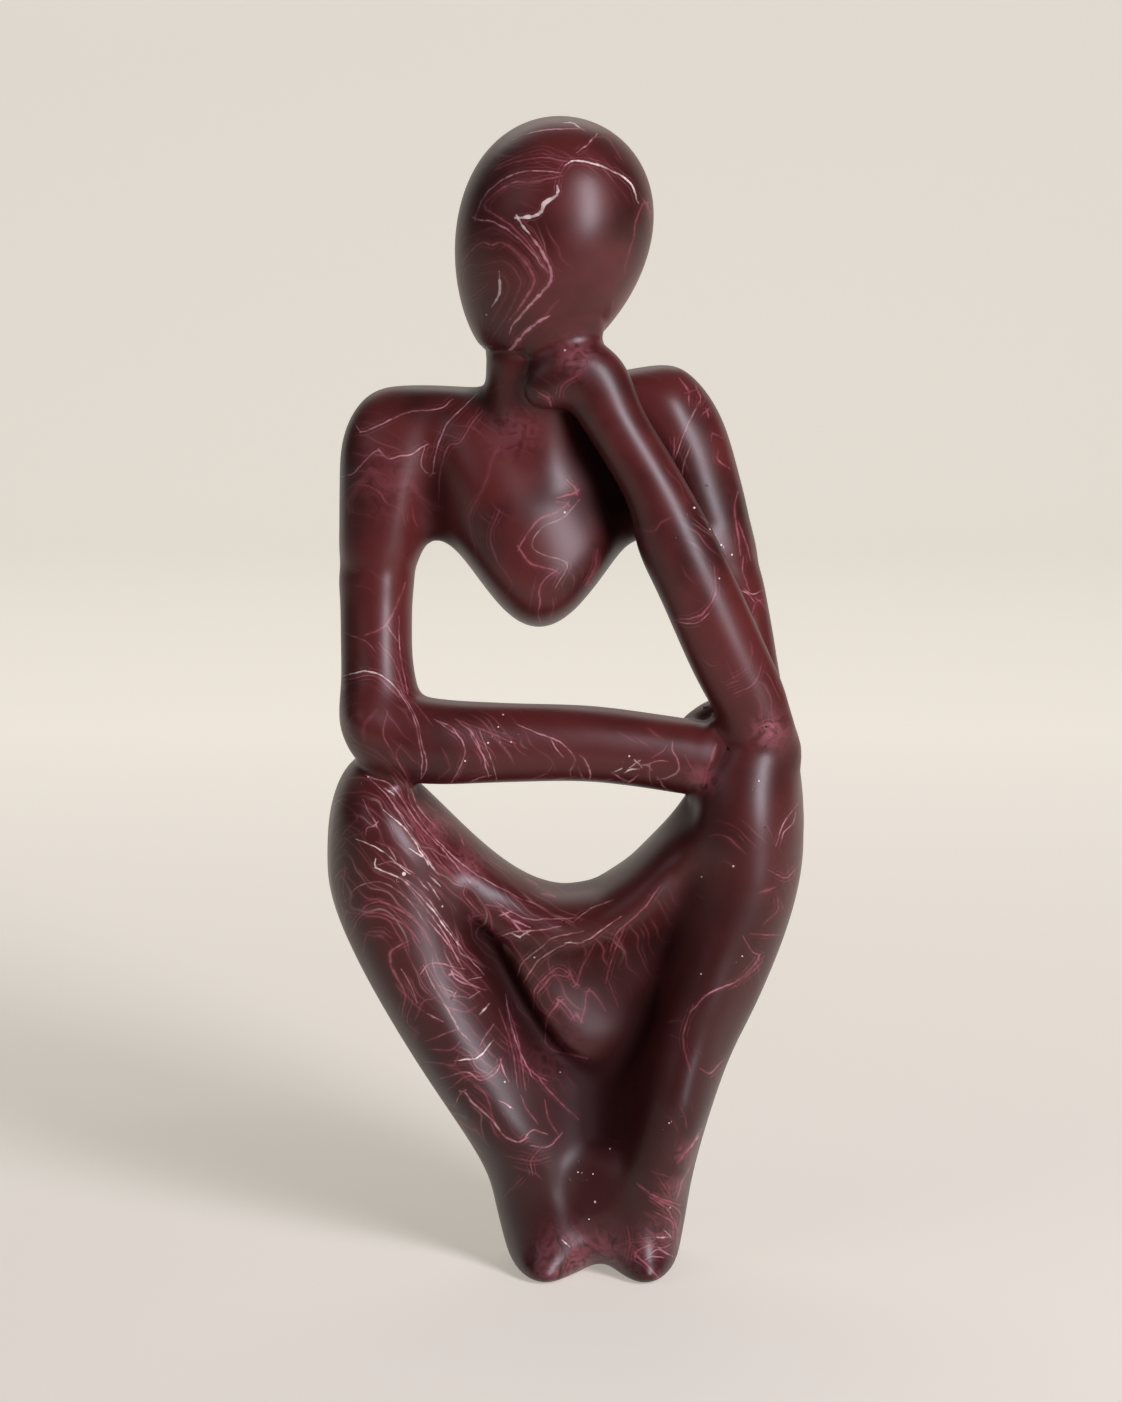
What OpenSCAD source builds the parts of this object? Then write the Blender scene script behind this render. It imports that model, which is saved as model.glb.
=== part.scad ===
// Seated silhouette figure, chin on hand, in marbled jesmonite. Lengths in millimetres.
// Six castings meet on coped or flat seams, located by stainless dowels and the neck's own spigot.
// Frame: +Z is up, the figure faces -Y, its left hand is on +X. The origin is under the figure's box.

/* [Legs] */
// Height of the lowest point of the lap above the floor
lap_z = 86.5; // [70:1:100]
// Rise of the knees above the lowest point of the lap
lap_rise = 36; // [26:1:44]
// Lowest point of the lap, sideways
lap_x = 1; // [-6:0.5:8]
// Rise of the left knee round the elbow that rests on it
elbow_rest = 8; // [0:0.5:10]
// Depth of the lap behind the middle plane of the legs
lap_back = 21; // [14:0.5:28]
// Middle of the right knee, sideways
right_knee_x = -40.7; // [-46:0.1:-34]
// Middle of the left knee, sideways
left_knee_x = 41; // [34:0.1:46]
// Half width of a knee
knee_r = 13; // [10:0.5:16]
// Depth of a knee in front of the middle plane of the legs
knee_front = 21; // [14:0.5:26]
// Groove between the feet, sideways
feet_x = 7.9; // [2:0.2:12]
// Half width of the right foot
right_foot_r = 11.2; // [8:0.2:14]
// Half width of the left foot
left_foot_r = 9.8; // [8:0.2:14]
// Swell of the right calf beyond its knee and foot
right_calf = 4; // [0:0.2:7]
// Swell of the left calf beyond its knee and foot
left_calf = 1.4; // [0:0.2:5]
// Swell of the left shin on its inner side
left_shin_inner = 3; // [0:0.2:5]
// Sideways run of the fold between the shins, from the feet's groove to the lap
fold_run = 25.7; // [18:0.5:32]
// Depth of the fold in front of the middle plane of the legs
fold_front = 12; // [8:0.5:20]
// Curl of the fold: 1 runs straight
fold_curl = 0.72; // [0.5:0.02:1.2]
// Width of the fold's steep edge
fold_edge = 3; // [2:0.5:8]
// Gap between the right leg's inner flank and the fold
flank_gap = 2; // [0:0.5:5]
// Overlap of the shins that fills the groove between them
groove_fill = 0.8; // [0:0.2:4]
// Reach of the toes beyond the shins
toe_reach = 4; // [2:0.5:8]
// Half width of the toes
toe_r = 7.5; // [5:0.5:9]
// Narrowing of a foot at the floor
foot_tuck = 1.5; // [0:0.1:3]

/* [Torso] */
// Height of the armpits above the floor
armpit_z = 166.2; // [150:0.5:180]
// Length of the upper arm stubs under the armpits, down to the shoulder seams
stub = 6; // [4:0.5:10]
// Width of the arch from an armpit to its arm
arch = 7.3; // [4:0.5:8]
// Depth of the chest's point under the armpits
chest_drop = 20; // [12:0.5:28]
// Half width of the chest between the armpits
chest_half = 22; // [18:0.5:26]
// Middle of the chest, sideways
chest_x = -6; // [-12:0.5:2]
// Depth of the chest in front of the middle plane
chest_front = 16; // [12:0.5:20]
// Depth of the back behind the middle plane
chest_back = 13; // [10:0.5:17]
// Rise of the shoulders above the armpits
shoulder_rise = 37.5; // [30:0.5:44]
// Dip of the shoulder line towards the neck
collar_dip = 3.5; // [0:0.5:6]
// Lean of the shoulder line, in degrees
shoulder_lean = 4.6; // [0:0.2:8]
// Outer side of the right shoulder, sideways
right_shoulder_x = -51.4; // [-58:0.1:-46]
// Outer side of the left upper arm at the armpit, sideways
left_shoulder_x = 46.9; // [38:0.1:50]
// Radius of the neck
neck_r = 11.3; // [9:0.1:13]
// Flare of the neck at its foot
neck_flare = 5; // [0:0.5:8]
// Forward tilt of the neck, in degrees
neck_tilt = 13; // [0:1:24]
// Length of the neck inside the head
neck_spigot = 8; // [5:0.5:12]

/* [Head] */
// Length of the egg from chin to crown
head_length = 57.7; // [46:0.5:64]
// Widest diameter of the egg
head_width = 42; // [36:0.5:50]
// Middle of the egg above the armpits
head_rise = 65.3; // [60:0.1:80]
// Middle of the egg, sideways
head_x = -3.5; // [-8:0.5:4]
// Middle of the egg, forward of the middle plane
head_front = 10; // [4:0.5:14]
// Lean of the crown to the figure's left, in degrees
head_lean = 16; // [0:1:30]
// Lean of the crown backwards, in degrees
head_nod = 10; // [0:1:25]

/* [Arms] */
// Half width of the right upper arm
right_arm_r = 8.1; // [6.5:0.1:10]
// Half width of the right forearm
right_forearm_r = 8.6; // [7:0.1:10.5]
// Height of the right forearm above the lowest point of the lap
right_forearm_rise = 34.9; // [30:0.1:40]
// Distance of the right forearm in front of the middle plane
right_forearm_front = 12; // [8:0.5:16]
// Half width of the left upper arm
left_arm_r = 9; // [7:0.1:11]
// Half width of the left forearm
left_forearm_r = 7.4; // [6:0.1:9.5]
// Bow of the left forearm, forward of the line from elbow to wrist
forearm_bow = 4; // [0:0.5:8]
// Half height of the left hand
hand_r = 6.4; // [5:0.1:8]
// Half depth of the left hand, front to back
hand_depth = 6.8; // [5:0.1:9]
// Half depth of the arms, front to back
arm_depth = 9; // [7:0.1:11]
// Distance of the left hand in front of the middle plane
hand_front = 18; // [12:0.5:22]

/* [Dowels] */
// Diameter of the stainless dowels
dowel_d = 4; // [3:0.5:6]
// Length of a shoulder dowel
shoulder_dowel = 20; // [14:1:30]
// Length of a knee dowel
knee_dowel = 22; // [14:1:30]
// Length of the elbow dowel
elbow_dowel = 9; // [6:0.5:12]
// Bevel on the ends of a dowel
dowel_bevel = 0.5; // [0.2:0.1:1]
// Gap for the adhesive round a dowel and at its ends
bond_gap = 0.15; // [0.05:0.05:0.4]

/* [Hidden] */
jesmonite = "#4b1a21";
steel = "#b9bcc0";
legs_y = -2;
leg_points = 72;
torso_points = 64;
limb_points = 26;
big = 400;

// Heights and middles that several castings share
knee_z = lap_z + lap_rise;
seam_z = armpit_z - stub;
head_z = armpit_z + head_rise;
neck_x = chest_x;
forearm_z = lap_z + right_forearm_rise;
shoulder_slope = tan(shoulder_lean);
right_stub_x = right_shoulder_x + right_arm_r + 0.9;
left_stub_x = left_shoulder_x - left_arm_r - 3.2;
right_foot_x = feet_x - right_foot_r;
left_foot_x = feet_x + left_foot_r;
head_reach = head_front + head_width / 2 + 1.1;
back_reach = lap_back + legs_y - 0.9;
stand_y = (head_reach - back_reach) / 2;

// Where the forms of the legs change, as shares of the height under the lap:
// start and end, or middle and reach
right_spread = [0.17, 0.76];
left_spread = [0.13, 0.8];
calf_at = [0.4, 0.22];
ankle_at = [0.2, 0.12];
toe_at = [0.02, 0.052];
sole_at = [0, 0.09];
arch_at = [0.08, 0.05];
groove_at = [0.06, 0.3];
panel_at = [0.44, 0.62];
brow_at = [0.76, 0.92];
fold_at = [0.518, 0.857];
rim_at = 0.87;
narrow_at = 0.8;
sole_edge = 0.035;

// Depths and widths of the legs' smaller forms
ankle_swell = 0.8;
ankle_dip = 1;
foot_dip = 1.5;
back_share = 0.7;
web_front = 4.5;
web_back = 14;
fold_back = 4;
arch_front = 11;
brow_front = 12.5;
right_narrow = 0.27;
left_narrow = 0.065;
sole_round = 0.06;
thin = 0.04;
edge = 0.9999;

// Where the forms of the torso change, as shares of its height, and the sizes of its lobes
chest_rim = 0.25;
crest_at = 0.68;
fall_at = 0.45;
stub_at = [0.22, 0.6];
stub_r = [9, 11.5];
right_lobe = 10.5;
left_lobe = 10;
web_low = [5, 6];
web_high = 13;
left_arch = 5;
chest_turn = 5;
chest_fall = 1;

// Curves between stations, soft steps and blended outlines
function unit(v) = v / norm(v);
function mix(a, b, s) = a + (b - a) * s;
function ease(a, b, v) = let(s = min(1, max(0, (v - a) / (b - a)))) s * s * (3 - 2 * s);
function step(at, v) = ease(at[0], at[1], v);
function bump(v, middle, reach) = exp(-pow((v - middle) / reach, 2));
function hump(at, v) = bump(v, at[0], at[1]);
function dome(s) = sqrt(max(0, 1 - s * s));
function lobe(x, c, r, depth, e, q) = depth * pow(max(0, 1 - pow(abs(x - c) / r, e)), q);
function blend(depths) = pow([for (d = depths) pow(d, 4)] * [for (d = depths) 1], 1 / 4);
function spread(s) = 0.5 * cos(180 * s) + 0.5 * (1 - 2 * s);
function curve(s, u) = let(i = min(floor(u), len(s) - 2), t = u - i, a = s[max(i - 1, 0)], b = s[i],
    c = s[i + 1], d = s[min(i + 2, len(s) - 1)])
    b + (c - a) * t / 2 + (2 * a - 5 * b + 4 * c - d) * t * t / 2 + (3 * b - a - 3 * c + d) * t * t * t / 2;

// A loft through rings of points, each ring counter-clockwise about the way the loft runs
module loft(rings) {
    n = len(rings[0]);
    last = (len(rings) - 1) * n;
    sides = [for (i = [0:len(rings) - 2], j = [0:n - 1]) let(a = i * n + j, b = i * n + (j + 1) % n)
        each [[a, a + n, b + n], [a, b + n, b]]];
    foot = [for (j = [0:n / 2 - 1]) let(b = j + 1, c = n - j - 1, d = (n - j) % n)
        each concat(b == c ? [] : [[j, b, c]], j == d ? [] : [[j, c, d]])];
    lid = [for (f = foot) [f[2] + last, f[1] + last, f[0] + last]];
    polyhedron([for (r = rings, p = r) p], concat(sides, foot, lid));
}

// A limb through stations of [x, y, z, half width, half depth], its far end closed as a dome of length tip
function limb_at(s, u) = let(p = curve(s, u)) [p[0], p[1], p[2]];
function limb_way(s, u) = unit(limb_at(s, min(u + 0.02, len(s) - 1)) - limb_at(s, max(u - 0.02, 0)));
function limb_ring(s, u, k) = let(p = curve(s, u), way = limb_way(s, u),
    back = unit([0, 1, 0] - way[1] * way), side = cross(back, way))
    [for (j = [0:limb_points - 1]) let(q = 360 * j / limb_points)
        limb_at(s, u) + k * p[3] * cos(q) * side + k * p[4] * sin(q) * back];
module limb(s, rings, tip = 0) {
    end = len(s) - 1;
    shaft = [for (i = [0:rings]) limb_ring(s, (end - tip) * i / rings, 1)];
    cap = [for (i = [1:1:tip > 0 ? 6 : 0]) let(w = sin(89 * i / 6))
        limb_ring(s, end - tip + tip * w, dome(w))];
    loft(concat(shaft, cap));
}

// Legs: rings that follow the lap's curve, scaled down towards the floor
right_reach = lap_x - right_knee_x + knee_r + 1;
left_reach = left_knee_x - lap_x + knee_r - 4;
rest_at = [left_knee_x - 5, 5.5];
function lap_curve(x) = let(reach = x < lap_x ? right_reach : left_reach)
    lap_rise * pow(sin(90 * min(1, abs(x - lap_x) / reach)), 2) + elbow_rest * hump(rest_at, x);
function fold_x(t) = feet_x - fold_run * pow(max(0, t - fold_at[0]) / (fold_at[1] - fold_at[0]), fold_curl);
function leg_lobes(t) = let(
    right = step(right_spread, t),
    left = step(left_spread, t),
    swell = hump(calf_at, t),
    ankle = ankle_swell * hump(ankle_at, t),
    low = step(groove_at, t),
    high = step(panel_at, t),
    between = low * (1 - high),
    shin = knee_front - ankle_dip * hump(ankle_at, t) - foot_dip * ease(0.6, 0.1, t),
    toe = (shin + toe_reach) * hump(toe_at, t),
    tuck = foot_tuck * hump(sole_at, t),
    rc = mix(right_foot_x, right_knee_x, right),
    rr = mix(right_foot_r, knee_r, right) + right_calf * swell + ankle - tuck,
    lc = mix(left_foot_x, left_knee_x, left),
    lr = mix(left_foot_r, knee_r, left) + left_calf * swell + ankle - tuck,
    flank = mix(rr, fold_x(t) + mix(groove_fill, -flank_gap, high) - rc, low),
    inner = mix(lr + left_shin_inner * low, lc - feet_x + groove_fill, between),
    fold = fold_x(t) + fold_edge,
    valley = lc - 0.4 * lr,
    middle = (rc - rr + lc + lr) / 2,
    half = (lc + lr - rc + rr) / 2,
    web = web_front + arch_front * hump(arch_at, t) + brow_front * step(brow_at, t))
    // each lobe: middle, reach to either side, depth in front and behind, then two exponents for each side
    [[rc, rr, flank, shin, back_share * shin, 2, 0.5, 2, mix(0.5, mix(1, 0.6, high), low)],
        [lc, inner, lr, shin, back_share * shin, 2, mix(0.5, 1.1, between), 2, 0.5],
        [fold, fold_edge, valley - fold, fold_front * high, fold_back, 2, 0.5, 1.3, 1],
        [rc - 2, toe_r, toe_r, toe, fold_back, 2, 0.5, 2, 0.5],
        [lc + 1, toe_r, toe_r, toe, fold_back, 2, 0.5, 2, 0.5],
        [middle, half, half, web, mix(web_back, lap_back, t), 2, 0.5, 2, 0.5]];
function lobe_depth(b, x, front) = let(h = x < b[0] ? 0 : 1)
    lobe(x, b[0], b[1 + h], b[front ? 3 : 4], b[5 + 2 * h], b[6 + 2 * h]);

// Points of a ring crowd at the outer sides, the fold and the left shin's inner edge
left_share = 0.36;
right_share = 0.4;
function outward(s) = 0.5 * (1 - cos(90 * s)) + 0.5 * s;
function leg_x(s, right, fold, left_inner, left) =
    s < left_share ? mix(left, left_inner, outward(s / left_share)) :
    s > 1 - right_share ? mix(right, fold, outward((1 - s) / right_share)) :
    mix(left_inner, fold, sin(90 * (s - left_share) / (1 - left_share - right_share)));
function leg_ring(t) = let(
    lobes = leg_lobes(t),
    rim = max(thin, dome(max(0, (t - rim_at) / (1 - rim_at)))),
    brow = dome(max(0, (t - narrow_at) / (1 - narrow_at))),
    sole = 1 - sole_round * pow(max(0, 1 - t / sole_edge), 2),
    right = lobes[0][0] - edge * lobes[0][1],
    left = lobes[1][0] + edge * lobes[1][2],
    middle = (left + right) / 2,
    inner = max(lobes[1][0] - lobes[1][1], fold_x(t) + fold_edge))
    [for (j = [0:leg_points - 1]) let(
        front = 2 * j > leg_points,
        s = 2 * min(j, leg_points - j) / leg_points,
        x = leg_x(s, right, fold_x(t), inner, left),
        depth = blend([for (b = lobes) lobe_depth(b, x, front)]),
        narrow = 1 - (x < middle ? right_narrow : left_narrow) * (1 - brow),
        out = middle + (x - middle) * sole * narrow)
        [out, legs_y + (front ? -1 : 1) * depth * sole * rim, t * (lap_z + lap_curve(out))]];
foot_rings = [0, 0.012, 0.025, 0.042, 0.06, 0.08];
shin_foot = 0.105;
shin_rings = [for (i = [0:23]) mix(shin_foot, rim_at, i / 23)];
rim_rings = [for (i = [1:8]) mix(rim_at, 1, sin(90 * i / 8))];
module legs_form() loft([for (t = concat(foot_rings, shin_rings, rim_rings)) leg_ring(t)]);

// Torso: rings between the arched lower edge and the leaning shoulder line
function torso_low(x) = let(u = abs(x - chest_x) / chest_half, run = x < chest_x ? arch : arch + left_arch)
    u < 1 ? -chest_drop * pow(1 - u * u, 1.8) : -3 * stub * min(1, pow((u - 1) * chest_half / run, 4));
function torso_high(x) = shoulder_rise + shoulder_slope * (x - chest_x)
    - collar_dip * bump(x, chest_x - 2, chest_half);
function torso_ring(t) = let(
    rim = max(thin, dome(max(0, 1 - t / chest_rim))),
    crest = max(thin, dome(max(0, (t - crest_at) / (1 - crest_at)))),
    fall = max(thin, dome(max(0, (t - fall_at) / (1 - fall_at)))),
    right = right_shoulder_x + 1.2 * t + 11 * (1 - crest),
    left = left_shoulder_x - 13.3 * t - 2.5 * pow(t, 3) - 9 * (1 - crest),
    middle = (left + right) / 2,
    half = (left - right) / 2,
    arm = mix(stub_r[0], stub_r[1], step(stub_at, t)),
    breast = chest_front * fall + 2 * bump(t, 0.5, chest_rim),
    // each lobe: middle, reach to either side, depth in front and behind, exponent of the front's left side
    lobes = [[right + arm, arm, arm, right_lobe * crest, right_lobe * crest, 0.5],
        [left - arm, arm, arm, left_lobe * crest, left_lobe * crest, 0.5],
        [chest_x - chest_turn - 3 * t, chest_half - chest_turn, chest_half + chest_turn + 6 * t, breast,
            (chest_back + 2 * t) * fall, chest_fall],
        [middle, half, half, mix(web_low[0], web_high, t) * fall, mix(web_low[1], web_high, t) * crest, 0.5]])
    [for (j = [0:torso_points - 1]) let(
        front = 2 * j > torso_points,
        x = middle + half * edge * spread(2 * min(j, torso_points - j) / torso_points),
        depth = blend([for (b = lobes) let(beyond = x > b[0])
            lobe(x, b[0], b[beyond ? 2 : 1], b[front ? 3 : 4], 2, front && beyond ? b[5] : 0.5)]))
        [x, (front ? -1 : 1) * depth * rim, armpit_z + mix(torso_low(x), torso_high(x), t)]];
chest_rings = [for (i = [0:6]) chest_rim * (1 - cos(15 * i))];
breast_rings = [for (i = [1:9]) mix(chest_rim, crest_at, i / 9)];
crest_rings = [for (i = [1:7]) mix(crest_at, 1, sin(90 * i / 7))];
module torso_form() loft([for (t = concat(chest_rings, breast_rings, crest_rings)) torso_ring(t)]);

// Neck: a round column that flares into the shoulders
neck_root = 30;
neck_foot = armpit_z + shoulder_rise - neck_root;
neck_length = head_z - head_length / 2 + neck_spigot + 2 - neck_foot;
flare_at = 8;
flare_run = 6;
function neck_radius(h) = neck_r + neck_flare * exp(-abs(h - flare_at) / flare_run);
module neck_form(gap) translate([neck_x, 0, neck_foot]) rotate([neck_tilt, 0, 0]) rotate_extrude($fn = 64)
    polygon(concat([[0, 0]], [for (i = [0:14]) let(h = neck_length * i / 14) [neck_radius(h) + gap, h]],
        [[0, neck_length + gap]]));

// Head: an egg with the narrow end at the chin
egg_taper = 0.168;
egg_widest = 1.0105;
egg = [for (i = [0:36]) let(a = 5 * i, z = -cos(a))
    [head_width / 2 * sin(a) * (1 + egg_taper * z) / egg_widest, head_length / 2 * z]];
module head_form() translate([head_x, -head_front, head_z]) rotate([head_nod, head_lean, 0])
    rotate_extrude($fn = 96) polygon(egg);

// Right arm: down from the shoulder, round the elbow and across to the left knee
right_elbow = [right_stub_x + 2.6, 3 - right_forearm_front, forearm_z + 3.2];
right_wrist = [left_knee_x - 4, 4 - right_forearm_front, forearm_z - 5.2];
right_forearm_foot = [right_elbow[0], -right_forearm_front, forearm_z];
function across(s, rise) = mix(right_forearm_foot, right_wrist, s) + [0, 0, rise];
right_arm_stations = [
    [right_stub_x + 0.6, 0, seam_z + 6, right_arm_r + 1.2, arm_depth + 1.6],
    [right_stub_x, -0.5, seam_z - 2, right_arm_r + 0.7, arm_depth + 1.2],
    [right_stub_x, -2, mix(seam_z, forearm_z, 0.28), right_arm_r, arm_depth],
    [right_stub_x + 0.4, -5, mix(seam_z, forearm_z, 0.62), right_arm_r + 0.1, arm_depth],
    [each right_elbow, right_forearm_r + 1.6, arm_depth + 0.3],
    [each across(0.12, 1.3), right_forearm_r + 1.1, arm_depth + 0.2],
    [each across(0.34, 1.9), right_forearm_r + 0.3, arm_depth],
    [each across(0.58, 2.8), right_forearm_r - 0.1, arm_depth - 0.2],
    [each across(0.79, 1.8), right_forearm_r - 0.2, arm_depth - 0.3],
    [each right_wrist, right_forearm_r, arm_depth - 0.3]];

// Left upper arm: from the shoulder to the elbow on the left knee
left_elbow = [left_stub_x + 8.4, -4.5, knee_z - 8];
left_arm_low = [left_stub_x + 5.4, -3.5, mix(seam_z, knee_z, 0.6)];
left_arm_stations = [
    [left_stub_x - 1.4, 0, seam_z + 6, left_arm_r + 0.4, arm_depth + 1.2],
    [left_stub_x, -0.6, seam_z, left_arm_r, arm_depth + 0.9],
    [left_stub_x + 2.4, -2, mix(seam_z, knee_z, 0.27), left_arm_r - 0.4, arm_depth],
    [each left_arm_low, left_arm_r - 1.2, arm_depth],
    [left_stub_x + 8, -4.5, knee_z + 3, left_arm_r - 1.8, arm_depth - 0.8],
    [each left_elbow, left_arm_r - 1, arm_depth - 0.3]];

// Left forearm: from the elbow up to the hand that is curled under the chin
forearm_foot = left_elbow - [0, 4.5, 0];
wrist_side = 9.3;
wrist_drop = 0.49 * head_length;
forearm_swell = 5.6;
wrist = [head_x + wrist_side, -hand_front, head_z - wrist_drop];
function rising(s, bow) = mix(forearm_foot, wrist, s) + [bow, -forearm_bow * sin(180 * s), 0];
left_forearm_stations = [
    [each forearm_foot, left_forearm_r, hand_depth + 1],
    [each rising(0.14, forearm_swell - 0.6), left_forearm_r + 0.7, hand_depth + 0.8],
    [each rising(0.32, forearm_swell - 1.2), left_forearm_r + 1.3, hand_depth + 0.6],
    [each rising(0.57, forearm_swell - 1.6), left_forearm_r + 0.9, hand_depth + 0.2],
    [each rising(0.73, forearm_swell - 1.8), left_forearm_r - 0.6, hand_depth - 0.2],
    [each rising(0.89, forearm_swell - 4.3), left_forearm_r - 0.6, hand_depth - 0.3],
    [each wrist, left_forearm_r + 0.6, hand_depth],
    [each wrist + [-6.4, 0, 1.7], hand_r + 1, hand_depth],
    [each wrist + [-11.4, 0.5, -1.8], hand_r + 0.2, hand_depth - 0.4],
    [each wrist + [-15.9, 1, -3.6], hand_r - 0.8, hand_depth - 1.2]];
module right_arm_form() limb(right_arm_stations, 36);
module left_arm_form() limb(left_arm_stations, 16);
module left_forearm_form() limb(left_forearm_stations, 26, 1.2);

// Half spaces on either side of the flat seams
module above(z) translate([-big / 2, -big / 2, z]) cube(big);
module below(z) translate([-big / 2, -big / 2, z - big]) cube(big);
elbow = (left_elbow + forearm_foot) / 2;
elbow_up = unit([left_stub_x, 0, seam_z] - elbow);
elbow_out = unit(rising(0.57, forearm_swell - 0.6) - elbow);
elbow_face = unit(elbow_up - elbow_out);
elbow_turn = [0, acos(elbow_face[2]), atan2(elbow_face[1], elbow_face[0])];
module behind_elbow() translate(elbow) rotate(elbow_turn) translate([-big / 2, -big / 2, 0]) cube(big);
module before_elbow() translate(elbow) rotate(elbow_turn) translate([-big / 2, -big / 2, -big]) cube(big);

// Dowels and their sockets, both in place
module pin(length) rotate_extrude($fn = 48) let(h = length / 2, r = dowel_d / 2, b = dowel_bevel)
    polygon([[0, -h], [r - b, -h], [r, b - h], [r, h - b], [r - b, h], [0, h]]);
module socket(length)
    cylinder(d = dowel_d + 2 * bond_gap, h = length + 2 * bond_gap, center = true, $fn = 48);
module at_right_shoulder() translate([right_stub_x, 0, seam_z]) children();
module at_left_shoulder() translate([left_stub_x, 0, seam_z]) children();
module at_right_knee() translate([right_stub_x + 1.5, -right_forearm_front + 3, knee_z - 7]) children();
module at_left_knee() translate([left_stub_x + 7.2, -2.5, knee_z - 2]) children();
elbow_pin = (left_arm_low + rising(0.26, forearm_swell)) / 2;
module at_left_elbow() translate(elbow_pin) rotate(elbow_turn) children();

// The castings and the dowels, moved so that the middle of the box stands on the origin
module stand() translate([0, stand_y, 0]) children();

module legs() color(jesmonite) stand() difference() {
    legs_form();
    at_right_knee() socket(knee_dowel);
    at_left_knee() socket(knee_dowel);
}

module torso() color(jesmonite) stand() difference() {
    union() {
        difference() {
            torso_form();
            translate([chest_x - chest_half - big / 2, 0, 0]) below(seam_z);
            translate([chest_x + chest_half + big / 2, 0, 0]) below(seam_z);
        }
        neck_form(0);
    }
    at_right_shoulder() socket(shoulder_dowel);
    at_left_shoulder() socket(shoulder_dowel);
}

module head() color(jesmonite) stand() difference() {
    head_form();
    neck_form(bond_gap);
}

module right_arm() color(jesmonite) stand() difference() {
    right_arm_form();
    above(seam_z);
    legs_form();
    left_arm_form();
    left_forearm_form();
    at_right_shoulder() socket(shoulder_dowel);
    at_right_knee() socket(knee_dowel);
}

module left_upper_arm() color(jesmonite) stand() difference() {
    left_arm_form();
    above(seam_z);
    before_elbow();
    legs_form();
    at_left_shoulder() socket(shoulder_dowel);
    at_left_knee() socket(knee_dowel);
    at_left_elbow() socket(elbow_dowel);
}

module left_forearm() color(jesmonite) stand() difference() {
    left_forearm_form();
    behind_elbow();
    legs_form();
    torso_form();
    neck_form(0);
    head_form();
    at_left_elbow() socket(elbow_dowel);
}

module right_shoulder_dowel() color(steel) stand() at_right_shoulder() pin(shoulder_dowel);
module left_shoulder_dowel() color(steel) stand() at_left_shoulder() pin(shoulder_dowel);
module right_knee_dowel() color(steel) stand() at_right_knee() pin(knee_dowel);
module left_knee_dowel() color(steel) stand() at_left_knee() pin(knee_dowel);
module left_elbow_dowel() color(steel) stand() at_left_elbow() pin(elbow_dowel);

legs();
torso();
head();
right_arm();
left_upper_arm();
left_forearm();
right_shoulder_dowel();
left_shoulder_dowel();
right_knee_dowel();
left_knee_dowel();
left_elbow_dowel();
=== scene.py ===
import math

import bpy
import numpy as np
import openvdb as vdb
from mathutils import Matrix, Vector


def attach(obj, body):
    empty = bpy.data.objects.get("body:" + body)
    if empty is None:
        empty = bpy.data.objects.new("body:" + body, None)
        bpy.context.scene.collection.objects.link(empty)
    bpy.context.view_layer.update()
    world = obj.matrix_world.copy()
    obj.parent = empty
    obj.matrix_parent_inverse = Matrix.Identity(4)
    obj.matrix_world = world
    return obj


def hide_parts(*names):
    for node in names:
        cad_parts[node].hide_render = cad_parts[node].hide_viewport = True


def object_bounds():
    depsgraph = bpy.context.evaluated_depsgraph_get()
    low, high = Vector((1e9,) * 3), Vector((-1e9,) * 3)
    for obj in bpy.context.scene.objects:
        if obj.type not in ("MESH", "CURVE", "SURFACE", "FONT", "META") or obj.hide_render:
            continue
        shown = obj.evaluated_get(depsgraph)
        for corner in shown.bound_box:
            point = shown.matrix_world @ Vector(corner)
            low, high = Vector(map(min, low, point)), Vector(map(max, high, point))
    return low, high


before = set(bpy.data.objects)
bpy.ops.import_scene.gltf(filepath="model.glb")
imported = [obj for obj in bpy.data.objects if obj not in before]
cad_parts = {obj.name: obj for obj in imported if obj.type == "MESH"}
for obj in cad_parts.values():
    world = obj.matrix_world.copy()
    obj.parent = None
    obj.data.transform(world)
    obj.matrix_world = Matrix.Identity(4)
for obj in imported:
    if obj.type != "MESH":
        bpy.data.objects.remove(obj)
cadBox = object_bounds()
scene = bpy.context.scene
mm = 0.001
castings = ["legs", "torso", "head", "right_arm", "left_upper_arm", "left_forearm"]
print("frame loaded:", ", ".join(sorted(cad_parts)))


def linear(hexColour):
    parts = [int(hexColour[i:i + 2], 16) / 255 for i in (1, 3, 5)]
    return [v / 12.92 if v <= 0.04045 else ((v + 0.055) / 1.055) ** 2.4 for v in parts] + [1.0]


def addNode(kind, settings=None, out=0, **links):
    node = tree.nodes.new("ShaderNode" + kind)
    for key, value in (settings or {}).items():
        if key in node.inputs:
            node.inputs[key].default_value = value
        else:
            setattr(node, key, value)
    for key, source in links.items():
        socket = node.inputs[int(key[1:]) if key[1:].isdigit() else key.replace("_", " ")]
        if isinstance(source, bpy.types.NodeSocket):
            tree.links.new(source, socket)
        else:
            socket.default_value = source
    return node.outputs[out] if node.outputs else node


# settings that many nodes share
softStep = {"interpolation_type": "SMOOTHSTEP"}
rgba = {"data_type": "RGBA"}
times = {"operation": "MULTIPLY"}
timesPlus = {"operation": "MULTIPLY_ADD"}

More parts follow.
